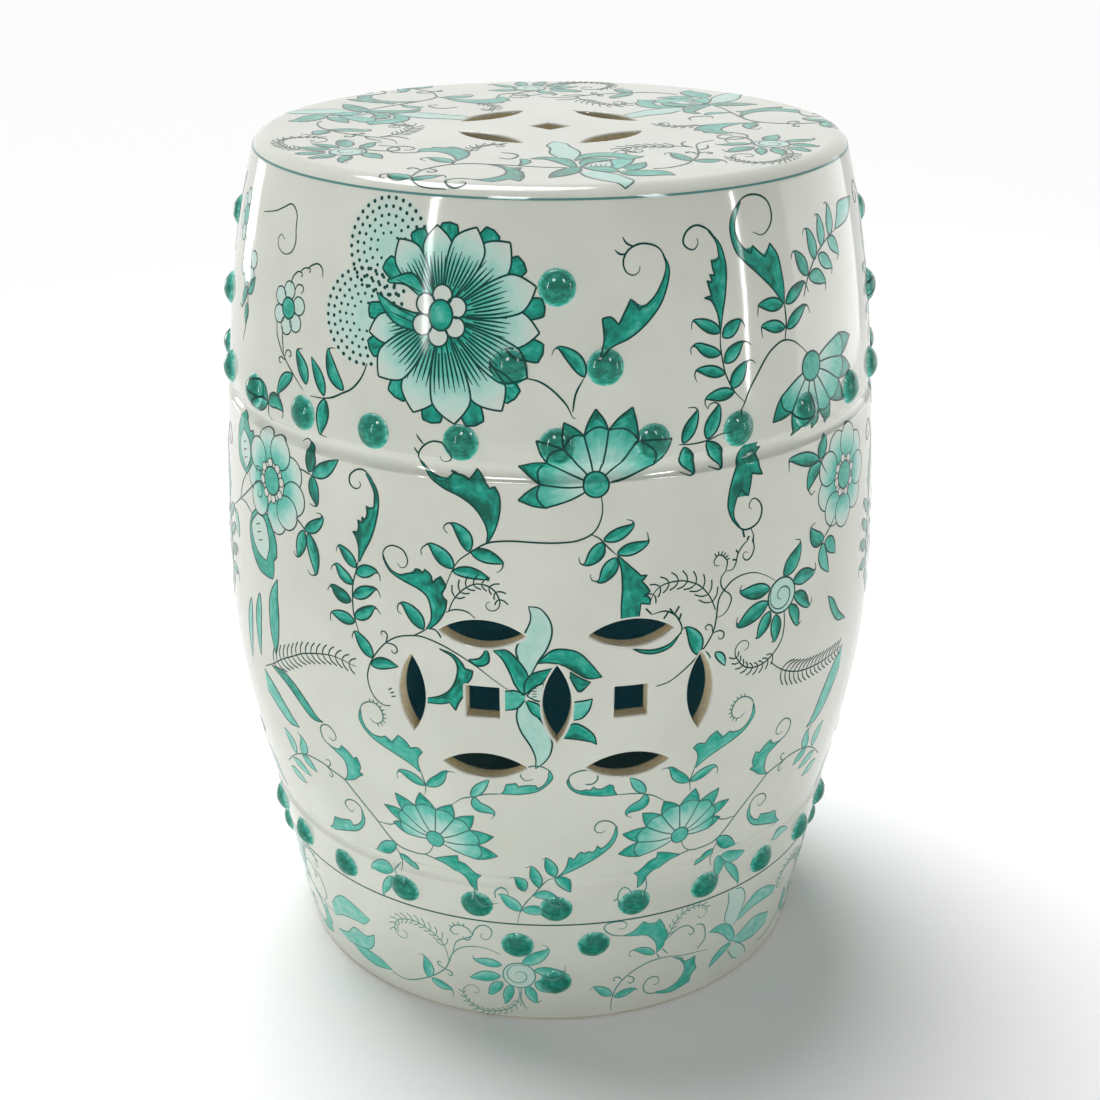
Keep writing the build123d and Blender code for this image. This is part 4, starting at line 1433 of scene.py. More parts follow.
hairs([(85.5, 276), (-1.5, 3.5), (-3.5, 1.5), (-2.5, -1.5)], 2, 1.5, -1)
line([(84.5, 272), (-2.5, -3), (0, -4), (2, -3), (3, -2.5), (1, -3), (-1.5, -4), (-3, -3), (-4, -1)],
    0.75)
line([(48.5, 217.5), (6.5, 1.5), (7, 4.5), (6.5, 5.5), (5.5, 6), (4, 6.5), (1.5, 6.5), (0.5, 5), (1, 5.5),
    (3, 4), (5, 4), (7, 1.5), (7, -1), (7, -3.5), (5.5, -4)], 0.8)
fern([(79, 253), (-3, 7), (-5, 6.5), (-6, 3.5), (-6.5, 1.5), (-7.5, -1), (-4.5, -3.5), (-2, -5)], 6.2, 5,
    width=0.75, first=0.05)
leaf([(69.5, 231), (-1, 8), (-4, 6.5)], 7.2, [(-3, 1), (-1, -3)])
leaf([(69.5, 230.5), (3, -0.5), (4.5, -2)], 4, None, (0.6, 0.4))
leaf([(79.5, 230), (3.5, -3.5), (2.5, -5)], 4, None, (0.4, 0.3))
tendril([(77.5, 241.5), (0, 2.5)], 2.7, 0.8, 1, 0.75)
tendril([(78, 241), (3.5, 0.5)], 3.3, 0.85, -1, 0.75)


def spiral_flower(centre, disc_radius, petals, turn):
    """Flower with a spiral drawn on its pale disc and leaf-like petals round it."""
    for spine, width, tail in petals:
        leaf(spine, width, tail)
    disc(centre, disc_radius, 0.16, level=1)
    winding = np.linspace(0, 1, 40)
    angle = radians(turn) + 2.6 * pi * winding
    reach = disc_radius * (0.92 - 0.72 * winding)
    line(np.stack([centre[0] + reach * np.cos(angle), centre[1] + reach * np.sin(angle)], axis=1), 0.75,
        level=1)


def spiral_spray():
    """Spiral flower with a curled frond."""
    spiral_flower((120.5, 250.5), 9.4, [([(112, 256.5), (-9, 0.5), (-8, 1.5)], 7.8, [(-2, 2), (1.5, 2)]),
        ([(111, 249.5), (-8.5, -3.5), (-9, -4.5)], 8.4, [(-2, 2), (0.5, 2.5)]), ([(112.5, 244),
        (-3.5, -6), (-3.5, -5.5)], 6.8, [(-2, -1)]), ([(116.5, 241), (0.5, -6.5), (-0.5, -7)], 6.8,
        [(-2, -1)]), ([(126.5, 243.5), (4, -6), (2.5, -6.5)], 6.2, [(3, 0.5)]), ([(129.5, 248.5), (6, -4),
        (5.5, -6)], 6.8, [(3, 1), (0, 2.5)]), ([(128.5, 255.5), (9, 0.5), (7, -0.5)], 7.8, [(2.5, 2),
        (-1, 3)]), ([(121.5, 260.5), (6.5, 5.5), (5, 6.5)], 8.6, [(0.5, 3.5), (-4, 1.5)])], 150)
    fern([(122.5, 241), (0.5, -8), (-1.5, -7), (-4.5, -5.5), (-7, -4), (-8, -0.5), (-6, 3), (-4.5, 6)], 5,
        3.4, 6.3, 0.85, -1, 0.75, 0.3)


spiral_spray()
fern([(114.5, 215.5), (6.5, -5.5), (8, -4.5), (11, -3.5), (13, -1.5), (14, -0.5), (13, 0)], 8, 3.7,
    width=0.75)

# Bamboo blades and fronds at the far left and right
leaf([(-193, 226), (-5, -18), (-4, -21)], 6, None, (0.3, 0.4))
leaf([(-180.5, 233.5), (-4, -17), (-2, -21.5)], 6.5, None, (0.4, 0.5))
fern([(-182, 190.5), (11, 6), (10, 6.5), (11, 6), (11, 5.5), (19, 5), (16, -1.5)], 8, 4.4, width=0.75)
blade([(-167, 203), (-3, 12), (0, 15), (3, 10), (6.5, 8.5)], [(-167, 203), (4, 10), (2, 13), (0, 12),
    (0.5, 10.5)], (0.5, 0.65))
blade([(-173, 194.5), (11, 1.5), (10, -3.5), (9, -6.5), (7.5, -7), (4.5, -2)], [(-173, 194.5), (13, -4.5),
    (10, -6.5), (8, -6), (5, -1.5), (6, 1)], (0.6, 0.75))
blade([(-184, 188), (12, -7), (10, -8.5), (8.5, -7.5)], [(-184, 175), (12, -6.5), (9, -4.5), (9.5, 1)],
    (0.5, 0.4))
blade([(160, 237), (6, -4), (7, -9), (10, -8)], [(160, 237), (4, -9), (8, -9), (11, -3)], (0.7, 0.55))
blade([(183, 200), (-11, -9), (-8.5, -12), (-6.5, -12), (-4, -4.5)], [(183, 187), (-8.5, -12), (-8, -8.5),
    (-6.5, -3.5), (-7, -0.5)], (0.45, 0.4))

front_paintings = painting("front_belly_painting")

# Lower belly painting: the same scroll and lotus at the left and right, in thinner enamel, with
# small scrolls under the slots and a sprig that runs down over the lower groove.
drawing.update(depth=0.8, weight=0.85)


def lotus_scroll():
    """Scroll leaf over a lotus."""
    blade([(-71, 165), (-4.5, 3.5), (-6.5, 3.5), (-8, 3.5), (-7, 3.5), (-5, 4.5), (-2.5, 5), (1, 5.5)],
        cornered([(-70.5, 165), (-1, 5), (0.5, 4), (2.5, 3.5)], [(-2.5, 2), (-4, -1)], [(-2.5, 3.5),
        (-4, 2.5)], [(-2, -3), (-1.5, -2.5)], [(-2.5, 2), (-2, 1)], [(-1.5, -1)], [(-5, 0), (-4, 2.5),
        (-2.5, 4.5), (-0.5, 6)]), (0.6, 0.8))
    line([(-103.5, 191), (1, 5), (4, 3.5), (5, 0.5), (3.5, -3.5), (0.5, -4.5), (-2.5, -3), (-3, -0.5),
        (-2.5, 2)], 0.85)
    hairs([(-98.5, 199.5), (5, 0.5), (3.5, -3.5), (0.5, -4.5), (-2.5, -3), (-3, -0.5)], 2.0, 2.0, 1)
    line([(-70.5, 166), (1, -4.5), (1, -4.5), (-1, -6)], 0.75)
    leaf([(-69, 157), (-7.5, 4), (-5.5, 2)], 5.2, [(-2.5, -2), (0, -3.5)])
    leaf([(-68, 157), (7, 5), (4, 5.5)], 5.6, [(3, 1), (2.5, -0.5)])
    fan_lotus((-67, 122.5), [(-32, 116.5), (-33.5, 129.5), (-43.5, 142), (-55, 147.5), (-72.5, 151.5),
        (-87.5, 147.5), (-96, 137.5), (-92, 127)], 5)


def curled_blade():
    """Long toothed blade that ends in a curl."""
    blade(cornered([(-149, 101), (6, 5), (3, 5), (1, 2)], [(6, 1), (8, 2.5)], [(1.5, -3)], [(4.5, 2.5),
        (4, 5), (1.5, 7)]), [(-149, 101), (9, 3), (10, 3.5), (9, 3.5), (6, 5.5), (2.5, 6), (-1, 5.5)],
        (0.7, 0.6))
    line([(-112.5, 124), (-1.5, 5.5), (-4, 2.5), (-5, -1), (-3, -3.5), (1.5, -3), (3, -1), (2, 2.5)], 0.9)


def lower_scroll():
    """Left half of the lower belly: the lotus on its long stem."""
    lotus_scroll()
    line([(-68.5, 119), (-2, -5), (-4.5, -4), (-8, -0.5), (-8, 1.5), (-6, 5), (-6, 8), (-7, 8), (-7, 7.5),
        (-5, 5), (-8, 2.5), (-8, 2), (-9, 0), (-8, -1.5), (-8, -3.5), (-7, -4.5), (-8, -6.5)], 1.0, 0.6,
        0.8)
    line([(-89, 127.5), (-6, -3), (-8, -0.5)], 0.8)
    line([(-75, 110), (7, -1.5)], 0.8)
    blade(cornered([(-69.5, 108.5), (7.5, 3), (7, 2)], [(0, -3.5)], [(4, -1.5), (2.5, -2.5)],
        [(2.5, -2.5), (3.5, -2.5)], [(-3, -3.5), (0.5, -6.5)]), [(-69.5, 108.5), (6.5, -2), (6, -4),
        (5, -4.5), (3, -4), (4, -3)], (0.85, 0.7))
    leaf([(-93, 112.5), (-14, -10)], 7.4, [(-2.5, 1)])
    line([(-93.5, 109), (2, -5), (-1, -6), (-0.5, -5)], 0.8)
    leaf([(-91.5, 105.5), (10, -9)], 5.8)
    blade(cornered([(-122, 144.5), (7, 2.5), (5, 4), (3, 2)], [(-2.5, 1)], [(1.5, 4), (-1.5, 5)],
        [(-2.5, -1.5)], [(-3.5, 3.5), (-4, 2)], [(-1, -3)], [(-5.5, -0.5), (-5, 1.5)]), [(-122, 144.5),
        (3, 3.5), (1, 5), (-1, 5), (-5, 3.5), (-7, 3.5)], (0.8, 0.6))
    line([(-126, 163), (-4, 1.5), (-3, 2.5), (-1, 4.5), (2, 3.5), (4.5, 1.5), (4, -2.5), (1, -3.5),
        (-2.5, -2.5), (-3, 1)], 0.9)
    tendril([(-134.5, 148), (3, 2)], 2.6, 0.7, 1, 0.8)
    tendril([(-134.5, 148), (3, -2.5)], 2.6, 0.7, -1, 0.8)
    curled_blade()
    leaf([(-157, 147.5), (4, 5.5), (-0.5, 5.5)], 6.4, [(-3.5, 2)], (0.65, 0.45))
    leaf([(-157, 146), (6, -2.5), (5.5, -3.5)], 5.4, None, (0.65, 0.45))
    leaf([(-164.5, 144), (-1.5, 7), (-6, 6)], 7, None, (0.5, 0.35))
    leaf([(-169.5, 138.5), (8.5, -1.5), (8, -3)], 5.4, None, (0.5, 0.35))
    leaf([(-176, 130), (15.5, -4)], 5.4, None, (0.5, 0.35))


lower_scroll()
again(lower_scroll, (0, 0), (2, 0.5), hand=-1)

# Scrolls under the lower slots
blade(cornered([(-28, 158), (1.5, 2.5), (1, 3.5)], [(2.5, 0.5), (2.5, 0.5)], [(1, -2)], [(4.5, 1),
    (4.5, 0)], [(0.5, -2)], [(3.5, 2.5), (2, 4), (0.5, 4.5)]), [(-28, 158), (10, 0.5), (8, 2), (5, 4),
    (3, 4.5), (-1.5, 4.5)], (0.7, 0.6))
line([(-2.5, 171), (-2, 3), (-4, 2), (-5, -0.5), (-4, -3), (-0.5, -3), (2.5, -2.5), (3.5, 1)], 0.9)
line([(-28, 158), (-8, -1), (-7, -2.5), (-6, -2), (-6, -5)], 0.8)
leaf([(-44, 154.5), (10, 12)], 5.4, None, (0.65, 0.45))
leaf([(-42.5, 154.5), (1.5, -5.5), (5.5, -2), (2.5, -1.5)], 5.6, [(0.5, -2), (-1.5, -2)], (0.5, 0.75))
blade(cornered([(31, 156.5), (-1.5, 2.5), (-1, 3.5)], [(-2, 0.5), (-3.5, -2)], [(-2.5, 0), (-2, 1.5)],
    [(-1.5, -2)], [(-2.5, 0.5)], [(-2.5, -0.5), (-3.5, 1.5), (-2, 3.5), (-0.5, 3.5)]), [(31, 156.5),
    (-7, 0), (-7, 1), (-6, 1.5), (-4, 3), (-2, 4), (1, 3)], (0.7, 0.85))
line([(5.5, 165.5), (1, 4.5), (4, 2.5), (4.5, 0.5), (4.5, -1.5), (1, -4), (-2.5, -3), (-3.5, 0)], 0.95,
    0.7, 0.9)
line([(31, 156.5), (9, -0.5), (6.5, -1.5), (5.5, -2.5), (6.5, -5)], 0.8)
leaf([(46, 155.5), (-9, 11)], 5.4, None, (0.45, 0.65))
leaf([(46.5, 154.5), (-1.5, -5.5), (-5.5, -2.5), (-2.5, -2)], 6, [(0, -2.5), (3, -1.5)])


def groove_sprig():
    """Scroll leaf and sprig over the lower groove."""
    blade(cornered([(1, 104), (4, 5), (2, 8)], [(3, -1.5)], [(1.5, 3), (2, 2)], [(1.5, -1), (3, 1)],
        [(1.5, -1)], [(2, 2), (0.5, 2.5)], [(2, -2.5)], [(3.5, 3), (3, 5.5), (1, 6)]), [(1, 104),
        (7, 3.5), (8, 4.5), (8, 5.5), (6, 6), (2.5, 6.5), (-0.5, 6)], (0.75, 0.65))
    line([(32.5, 132), (-1.5, 5), (-4, 3), (-4.5, 0), (-2.5, -3.5), (1, -3), (3, -1), (2, 1.5)], 0.9)
    line([(1.5, 104.5), (-4.5, -2.5), (-3.5, -3.5), (-4.5, -5), (-4, -5), (-3.5, -5), (-2.5, -5.5),
        (-1.5, -7)], 0.8)
    leaf([(-0.5, 104), (-4.5, 11.5)], 6.4, [(-1.5, 1), (-1.5, -1)])
    leaf([(-9.5, 95.5), (-3.5, 14)], 6.4, [(-2, 1), (-2, -0.5)])
    leaf([(-17.5, 93.5), (-3, 6), (-2, 2.5)], 6.4, [(-2.5, 0.5), (-1.5, -1.5)])
    leaf([(-0.5, 103), (4.5, -3.5), (4.5, -6.5)], 7.4)


groove_sprig()
front_paintings += painting("front_lower_belly_painting")
carried(front_paintings + half_turned(front_paintings))

# Foot painting: a spiral flower, scrolls and two lilies below the ruled line and the ends of the
# sprigs above it, in the palest enamel and with the finest lines.
drawing.update(radius=155.0, depth=0.62, weight=0.8)
line([(-82, 98), (-3.5, -5.5), (1.5, -4.5)])
leaf([(-86.5, 92), (-6.5, -0.5), (-7, -3)], 8.5, [(-1.5, -2)])
leaf([(-88.5, 87), (-7.5, -14)], 4.6, [(0, -2.5)])
leaf([(88, 98), (0.5, -14)], 6)
leaf([(92, 92.5), (7, -8), (6, -10)], 4.6, [(1, -3.5)])
leaf([(90, 97.5), (8, -3.5), (8, 0.5)], 6.5)
leaf([(128, 91), (8, 1.5), (8, -1.5)], 5, None, (0.5, 0.4))


def foot_scrolls():
    """Spiral flower, scroll leaf, crescent and fronds between two lilies."""
    line([(-42, 96), (1.5, -7), (3.5, -4.5), (4, -1.5), (4, 1)])
    line([(-30.5, 87.5), (0, 4.5), (3, 2.5), (3, -1.5), (0.5, -3)])
    leaf([(-17.5, 79.5), (-9.5, 10)], 6.5, [(-2, 0)])
    leaf([(-17, 80), (7, 0.5), (7, -2.5)], 6)
    leaf([(-11, 90.5), (6, 0.5), (8, -5)], 5.5)
    line([(38.5, 88), (-1.5, 3.5), (-3, 1.5), (-2, -2.5), (-0.5, -3.5), (0.5, -3), (3, -2.5), (5, -1.5)])
    line([(31.5, 86), (-2, -1.5)], 1.1, 1, 1)
    line([(32, 84), (0.5, -4)], 1.1, 1, 1)
    line([(46, 96), (0, -6), (-2, -5)])
    line([(-102, 13), (5, -1.5), (7, 0.5), (7, 3), (7, 4), (7, 5), (6, 6), (3, 6), (3, 7), (5, 5),
        (7, 2.5), (7, 0), (8, -3)])
    leaf([(-75, 19.5), (1, 7.5), (-1, 6.5)], 6.5, [(-2, 2.5), (-2, -1)])
    leaf([(-73, 19.5), (6, -3), (5.5, -1.5)], 5.5, [(1.5, -3), (-1, -3)])
    tendril([(-63.5, 29.5), (3, -0.5)], 2.5, 0.8, -1)
    tendril([(-63.5, 30), (-3, 1)], 2.2, 0.8, -1)
    fern([(-60, 36), (-1, 8), (-3, 7), (-6, 5), (-7, 3), (-7, -0.5), (-6, -3), (-3, -5.5)], 5.2, 3.8, 6,
        0.9, 1)
    line([(-57, 44), (3, 8), (6, 4), (3, 2), (1.5, 4), (3, 4), (3.5, 1), (3, -2.5), (0, -4), (-2.5, -3.5),
        (-3, 0.5), (-0.5, 2.5), (1.5, 1)])
    line([(-45.5, 58), (-1, -3), (-2.5, -0.5), (-1, 2)])
    line([(-44.5, 59.5), (-2.5, 3.5), (-4, 1.5), (-4, -1.5), (-2, -3.5), (2, -2.5), (2.5, 1)])
    hairs([(-57, 59.5), (2, 3.5), (4, 1.5), (4, -1.5)], 2.2, 2.4, 1)
    spiral_flower((-20, 33), 9, [([(-18, 42), (7, 4), (6.5, 5.5)], 7.5, [(0, 3), (-2.5, 1.5)]),
        ([(-11.5, 37.5), (7.5, -1), (7, -0.5)], 6, [(2.5, 1.5), (-0.5, 3.5)]), ([(-11, 29), (5, -4),
        (7, -3)], 7, None), ([(-15.5, 25.5), (2, -6), (2.5, -5.5)], 6, [(2.5, 0), (0.5, 1.5)]),
        ([(-24.5, 25.5), (-2, -6.5), (-1.5, -6.5)], 5.5, [(-1, -2)]), ([(-29.5, 27), (-4, -4),
        (-3.5, -5.5)], 6, [(-1.5, 0.5)]), ([(-30.5, 31.5), (-9, -1.5), (-9, -3)], 7, None),
        ([(-29.5, 39.5), (-7, 1), (-7, 0.5)], 5.5, [(-2, 1.5), (0.5, 1.5)])], 60)
    fern([(-20.5, 24), (0, -7), (-2, -5.5), (-4.5, -4.5), (-7, -2.5), (-8, -1), (-7, 3.5), (-4, 5),
        (-0.5, 5), (3.5, 4)], 3.4, 3.4, 5, 0.7, -1)
    line([(-19, 24), (-0.5, -8), (2, -6), (1.5, -2)])

    line([(38, 58.5), (-7, 1.5), (-4.5, 3.5), (-1, 3.5), (2.5, 2), (5, 0.5), (4, -1.5), (0.5, -3),
        (-2.5, -1.5), (-1.5, 1.5)])
    blade(cornered([(36, 58.5), (6, 2.5), (5, 5.5)], [(2.5, -2), (2.5, -0.5)], [(2.5, 0), (1.5, 2)],
        [(3, -5), (2, -5)], [(1.5, -3.5), (-1.5, -4.5)], [(-1, -3.5), (-3, -3)]), [(36, 58.5), (7, -1),
        (6, -1), (4, -3.5), (3, -5), (1, -6.5)], (0.9, 0.8))
    leaf([(56, 41), (-6.5, 4), (-5, 2)], 4.5, [(-3, -0.5), (-1, -2.5), (1.5, -1.5)])
    line([(33, 4), (-0.5, 5), (0.5, 5), (1.5, 6), (3.5, 6), (6, 5.5), (8, 4), (8, 1), (8, -1), (7, -4)])
    line([(66, 36), (10, -2.5), (8, -1), (8, -1.5)], 0.6)
    line([(57, 41.5), (1, -2.5), (2, -2.5)])
    leaf([(32.5, 15.5), (-9.5, 7.5)], 5.5, [(-2.5, -0.5), (-0.5, -1.5)])
    leaf([(34, 14), (11.5, 3.5)], 5, [(3, -1.5)])
    tendril([(38, 26), (-2, 2.5)], 2.5, 0.7, 1)
    tendril([(41, 28.5), (3, -1.5)], 3.2, 0.7, -1)
    blade(cornered([(68, 34.5), (6, -3), (3, -3), (6.5, 1.5)], [(0.5, -5), (2, -5)], [(-3, -4),
        (-0.5, -5)], [(-3.5, -1), (-7, -2), (-6, 0.5), (-6, 2)]), [(68, 34.5), (5, -3.5), (3.5, -5),
        (1, -5), (-2.5, -5), (-4, -3.5), (-5, -1.5), (-6, 0.5)], (0.9, 0.8))
    line([(64, 11), (-7, 0), (-4.5, 3), (-1, 5), (2.5, 4), (4.5, 0.5), (2.5, -3), (-1, -3), (-2.5, 0)])
    fern([(60, 47), (3.5, 7), (2.5, 6), (4, 5.5), (6, 2.5), (6, -1), (3.5, -3)], 3.4, 3.4, 5, 0.7, -1)
    line([(62.5, 50), (5.5, 5), (6, 0.5), (4.5, -3.5)])
    tendril([(76, 54), (3, -3)], 2.6, 0.8, -1)
    line([(80, 54), (5, -2), (2.5, -6), (0.5, -6), (-4, -5)], 1.0, 0.6, 1)
    line([(60.5, 43), (3.5, -4)], 1.0, 1, 0.6)


foot_scrolls()
# Lily at the left edge
blade([(-150, 38), (8, 9), (9, 5), (11, -2), (10, -4)], [(-150, 30), (12, 6), (12, 3), (8, 1), (6, 6)],
    (0.6, 0.55))
blade([(-150, 20), (12, 4), (9, 8), (10, -1), (8, 4.5)], [(-140, 17), (12, 2), (10, 3), (5, 6), (2, 7.5)],
    (0.6, 0.55), 1)
blade([(-140, 22), (12, -1), (11, -1), (9, -2), (6, -4)], [(-138, 20), (10, -6.5), (10, -2.5), (8, 1),
    (8, 2)], (0.6, 0.7))

# Lily at the right edge
blade([(100, 68), (1.5, -8), (-0.5, -10), (2, -6)], [(105, 68.5), (6, -2.5), (4, -8), (-1, -10),
    (-4, -8)], (0.2, 0.16))
blade([(91, 44), (6, 2), (7, -2), (6, -6), (4, -8)], [(91, 44), (7, -3.5), (6, -5), (5, -6), (5, -2.5)],
    (0.65, 0.6), 1)
blade([(96.5, 15.5), (1.5, 6), (5, 5), (7, 1.5)], [(96.5, 15.5), (6.5, 4), (5, 3.5), (4, 3)], (0.7, 0.6),
    1)
blade([(113, 47), (12, 9), (13, -2), (10, -6)], [(113, 42), (13, 4), (22, -2)], (0.55, 0.5))
blade([(115, 30), (15, 6), (18, -6)], [(114, 26), (8, -4), (13, -2), (13, 2)], (0.5, 0.55))
blade([(110, 22), (6, -8), (6, -4)], [(118, 24), (8, -7), (4, -7)], (0.2, 0.16))
front_paintings = painting("front_foot_painting")
carried(front_paintings + half_turned(front_paintings))

# Seat painting: a lily, scrolls and a spiral flower three times round the pierced coin, with
# broader lines, running out over the rounded rim.
drawing.update(surface="seat", radius=1.0, depth=1.0, weight=1.25)


def seat_third():
    """A third of the seat: the lily with the scrolls at both sides of it and one spiral flower."""
    blade([(2, -84), (-3.5, 10), (0.5, 12), (-1.5, 8), (3.5, 10)], [(10, -90), (3, 12), (-0.5, 10),
        (-3.5, 10), (-2, 8), (-6, 6)], (0.2, 0.16))
    blade([(11, -119), (3, -10), (6, -8), (6, -5), (5, -6)], [(20, -117), (8, -7), (4, -7), (3, -7),
        (-0.5, -5), (-3.5, -5)], (0.2, 0.16))
    blade([(-11, -88), (3, 3), (5, 1.5), (5, -2.5), (6, -5), (3, -17)], [(-11, -88), (7, -1), (4, -5),
        (4, -7), (4, -7)], (0.8, 0.7), 1)
    blade([(6, -109), (-5, -7), (-3, -8), (-1, -8)], [(12, -108), (0, -9), (-6, -9), (-9, -6)],
        (0.9, 0.75), 1)
    blade([(10, -91), (4, 12), (6, 4.5), (7, 1), (7, -2.5), (4, -4.5), (5.5, -2.5)], [(10, -93), (6, 7),
        (6, 3), (8, -2), (6, -5), (7.5, 7)], (0.5, 0.7), 1)
    blade([(28, -90), (9, 5), (1, -7), (-3, -10), (-5, -10)], [(28, -90), (-2, -7), (-1, -11), (5, -4)],
        (0.5, 0.4))
    blade([(12, -100), (1, 7), (5, 5.5), (7, 0.5), (3, -4)], [(12, -108), (5, 10), (5, 4), (6, 3)],
        (0.75, 0.6), 2)
    blade([(14, -106), (4, 8), (9, 4)], [(14, -108), (8, -0.5), (5, 2.5), (0, 12)], (0.06, 0.12), 1)
    for x in (17, 19.3, 21.6, 23.9):
        line([(x, -106), (0.6, 4.5)], 0.6, level=2)
    blade([(32, -110), (2, 6), (4, 3), (5.5, 4.5)], [(34, -117), (6, 5), (3, 7), (0.5, 8.5)],
        (0.75, 0.65), 1)
    blade([(30, -119), (8, 3), (8, 0), (6, -3), (3, -8)], [(30, -121), (4, -6), (8, -1), (8, 1.5),
        (5, -0.5)], (0.6, 0.7), 1)
    blade([(13, -109), (7, 2), (7, -2), (3, -10)], [(13, -109), (5, -6), (6, -4), (6, 0)], (0.65, 0.55),
        2)
    blade([(-17, -104), (1.5, 7), (-0.5, 9)], [(-17, -104), (5, 6), (1, 4), (-2, 5), (-3, 1)],
        (0.65, 0.55))
    blade([(-47, -95), (0.5, 7), (-2.5, 10), (-5, 7.5), (-6, 2.5), (-6, -2)], cornered([(-46, -92),
        (4, 8), (1.5, 9), (-1.5, 8), (-4, 7), (-4, 3)], [(-2, -2.5)], [(-6, 2)], [(-2, -3), (-4, -1.5),
        (-2, -8)]), (0.6, 0.75))
    line([(-64, -69.5), (-8, -2.5), (-6, 2.5), (-2.5, 5.5), (1.5, 6), (5, 3), (5, -2.5), (1.5, -4),
        (-2.5, -3.5), (-2.5, 1)])
    leaf([(-48, -95.5), (-10.5, 11)], 7.5, [(-3.5, 0), (-1.5, -3), (2.5, -3.5)])
    fern([(-40.5, -75), (0.5, 7), (1.5, 8), (3.5, 6), (6, 3.5)], 5, 4, 5, 0.8, -1)
    line([(-25, -72), (6, -3), (2, -6), (-4, -7), (-5, 3)])
    line([(6, -109), (-10, 1), (-10, 3), (-10, 3), (-8, 2), (-8, 1.5), (-9, -2), (-8, -6.5), (-5, -7),
        (-3, -10), (-0.5, -8), (3, -6), (5.5, -3.5), (7, -2.5)])
    line([(-47, -95), (-2, -6)])
    tendril([(-62, -113), (-3, 4.5)], 2.5, 0.8, 1)
    tendril([(-58, -110), (3, -4)], 3.5, 0.8, -1)
    leaf([(-66, -130.5), (-5.5, 4), (-4.5, 4.5)], 8.5, [(-3.5, 0), (-1, -3.5), (2.5, -2)])
    leaf([(-65.5, -133), (12, 7)], 7, [(3, -1), (0.5, -5)])
    blade([(-31, -101), (5, -5), (3, -7), (0.5, -7), (-2.5, -7), (-5, -5), (-7, -3)],
        cornered([(-31, -101), (6, -3), (4, -4.5), (5.5, 0)], [(-1, -5.5), (1.5, -5)], [(0.5, -11),
        (-2, -9)], [(-4, 4.5), (-3.5, -2.5)], [(-4.5, -3)], [(-4.5, 2), (-4, 3)]), (0.75, 0.9))
    line([(-36, -135), (-7, 2.5), (-4.5, -1), (-2.5, -4.5), (1.5, -4.5), (3.5, -2), (4, 1.5), (0, 2.5),
        (-2.5, 1)])
    line([(46, -112), (6, 1.5), (6, 4.5), (5, 6), (3, 7), (3, 9), (1.5, 9), (0.5, 9), (0, 8), (1, 6),
        (3, 5), (6, 5)])
    leaf([(65.5, -94), (-4.5, 9), (-3, 9.5)], 7, [(-3, 1), (-1.5, -4.5)])
    leaf([(67, -93.5), (6, 0), (6, 1)], 8.5, [(2.5, -3), (0, -4.5)])
    tendril([(69.5, -77), (-1.5, 4)], 2.5, 0.8, 1)
    tendril([(70.5, -75), (2.5, 2)], 3.3, 0.8, -1)
    line([(72, -67), (4, 5), (1, 8)])
    fern([(69, -60), (-7, 2.5), (-8, 0.5), (-8, -0.5), (-8, -2.5), (-4, -5), (1, -5)], 7, 4.5, 6, 0.9, 1)
    line([(69, -60), (-4, 4), (-0.5, 6), (2.5, 6)])
    spiral_flower((109, -52), 9, [([(108, -44), (2.5, 7), (4.5, 9)], 8, None), ([(116.5, -46), (7.5, 2.5),
        (6.5, 2.5)], 6, [(2, 2.5), (-1, 2)]), ([(118, -53.5), (6, -1.5), (6, -4)], 7, [(1.5, 1.5),
        (0.5, 2)]), ([(116, -60.5), (5, -5), (3, -5.5)], 6.5, [(2, 1.5), (-0.5, 2)]), ([(108.5, -63),
        (1.5, -7.5), (1, -7.5)], 7, [(-0.5, -4), (-1.5, -3)]), ([(102.5, -61.5), (-1, -8.5), (-1, -10)],
        5.5, None), ([(99, -59.5), (-7, -6), (-6, -6)], 8.5, [(-2.5, 2.5), (-0.5, 3)]), ([(98.5, -51),
        (-7.5, -1.5), (-7, -1.5)], 6, [(-2.5, 1), (-0.5, 2.5)])], 40)
    line([(98.5, -53), (1.5, 9), (-2, 8), (-4, 3.5), (-5, -3.5), (-2, -5), (1, -7)])
    fern([(113.5, -62), (2.5, -8), (0, -8), (-3, -9), (-6, -8), (-7, -4), (-7, 1), (-5.5, 5.5),
        (-2.5, 6.5), (2, 6)], 4.5, 3.6, 6.5, 0.8, -1)


for third in (0, 120, 240):
    again(seat_third, (0, 0), (0, 0), third)
carried(painting("seat_painting"))

# Side paintings: the same motifs once more between front and back, in the same enamel, painted
# at the right and then at the left.
drawing.update(surface="wall", radius=168.0, turn=radians(93.5), weight=1.0)
again(shoulder_sprig, (79.5, 389), (-46, 388))
small_flower((43.5, 422.5))
small_flower((58, 402))
line([(22, 440), (-7, -13), (-6, -19), (-1, -12)], 0.9)
line([(45, 413), (5, -2), (2, -3.5)], 0.8)
line([(59, 393), (3, -9), (0, -10), (-4, -12)], 0.8)
leaf([(60, 392), (-6, -12)], 5.5, [(-2, -2.5), (-3, 1.5)])
leaf([(62, 387), (4, 4), (4.5, 6)], 5.5)
leaf([(62, 382), (-2, -11)], 5.5)
again(upper_lotus, (17.5, 322.5), (-14, 325))
side_paintings = painting("right_shoulder_painting")
drawing.update(radius=177.0, turn=pi / 2)
again(belly_sprig, (-100, 270), (-57, 262))
again(belly_sprig, (-100, 270), (45, 258), hand=-1)
again(spiral_spray, (120, 250), (0, 285))
again(lotus_scroll, (-68, 150), (0, 190))
again(curled_blade, (-130, 115), (-62, 118))
again(curled_blade, (-130, 115), (62, 121), hand=-1)
groove_sprig()
side_paintings += painting("right_belly_painting")
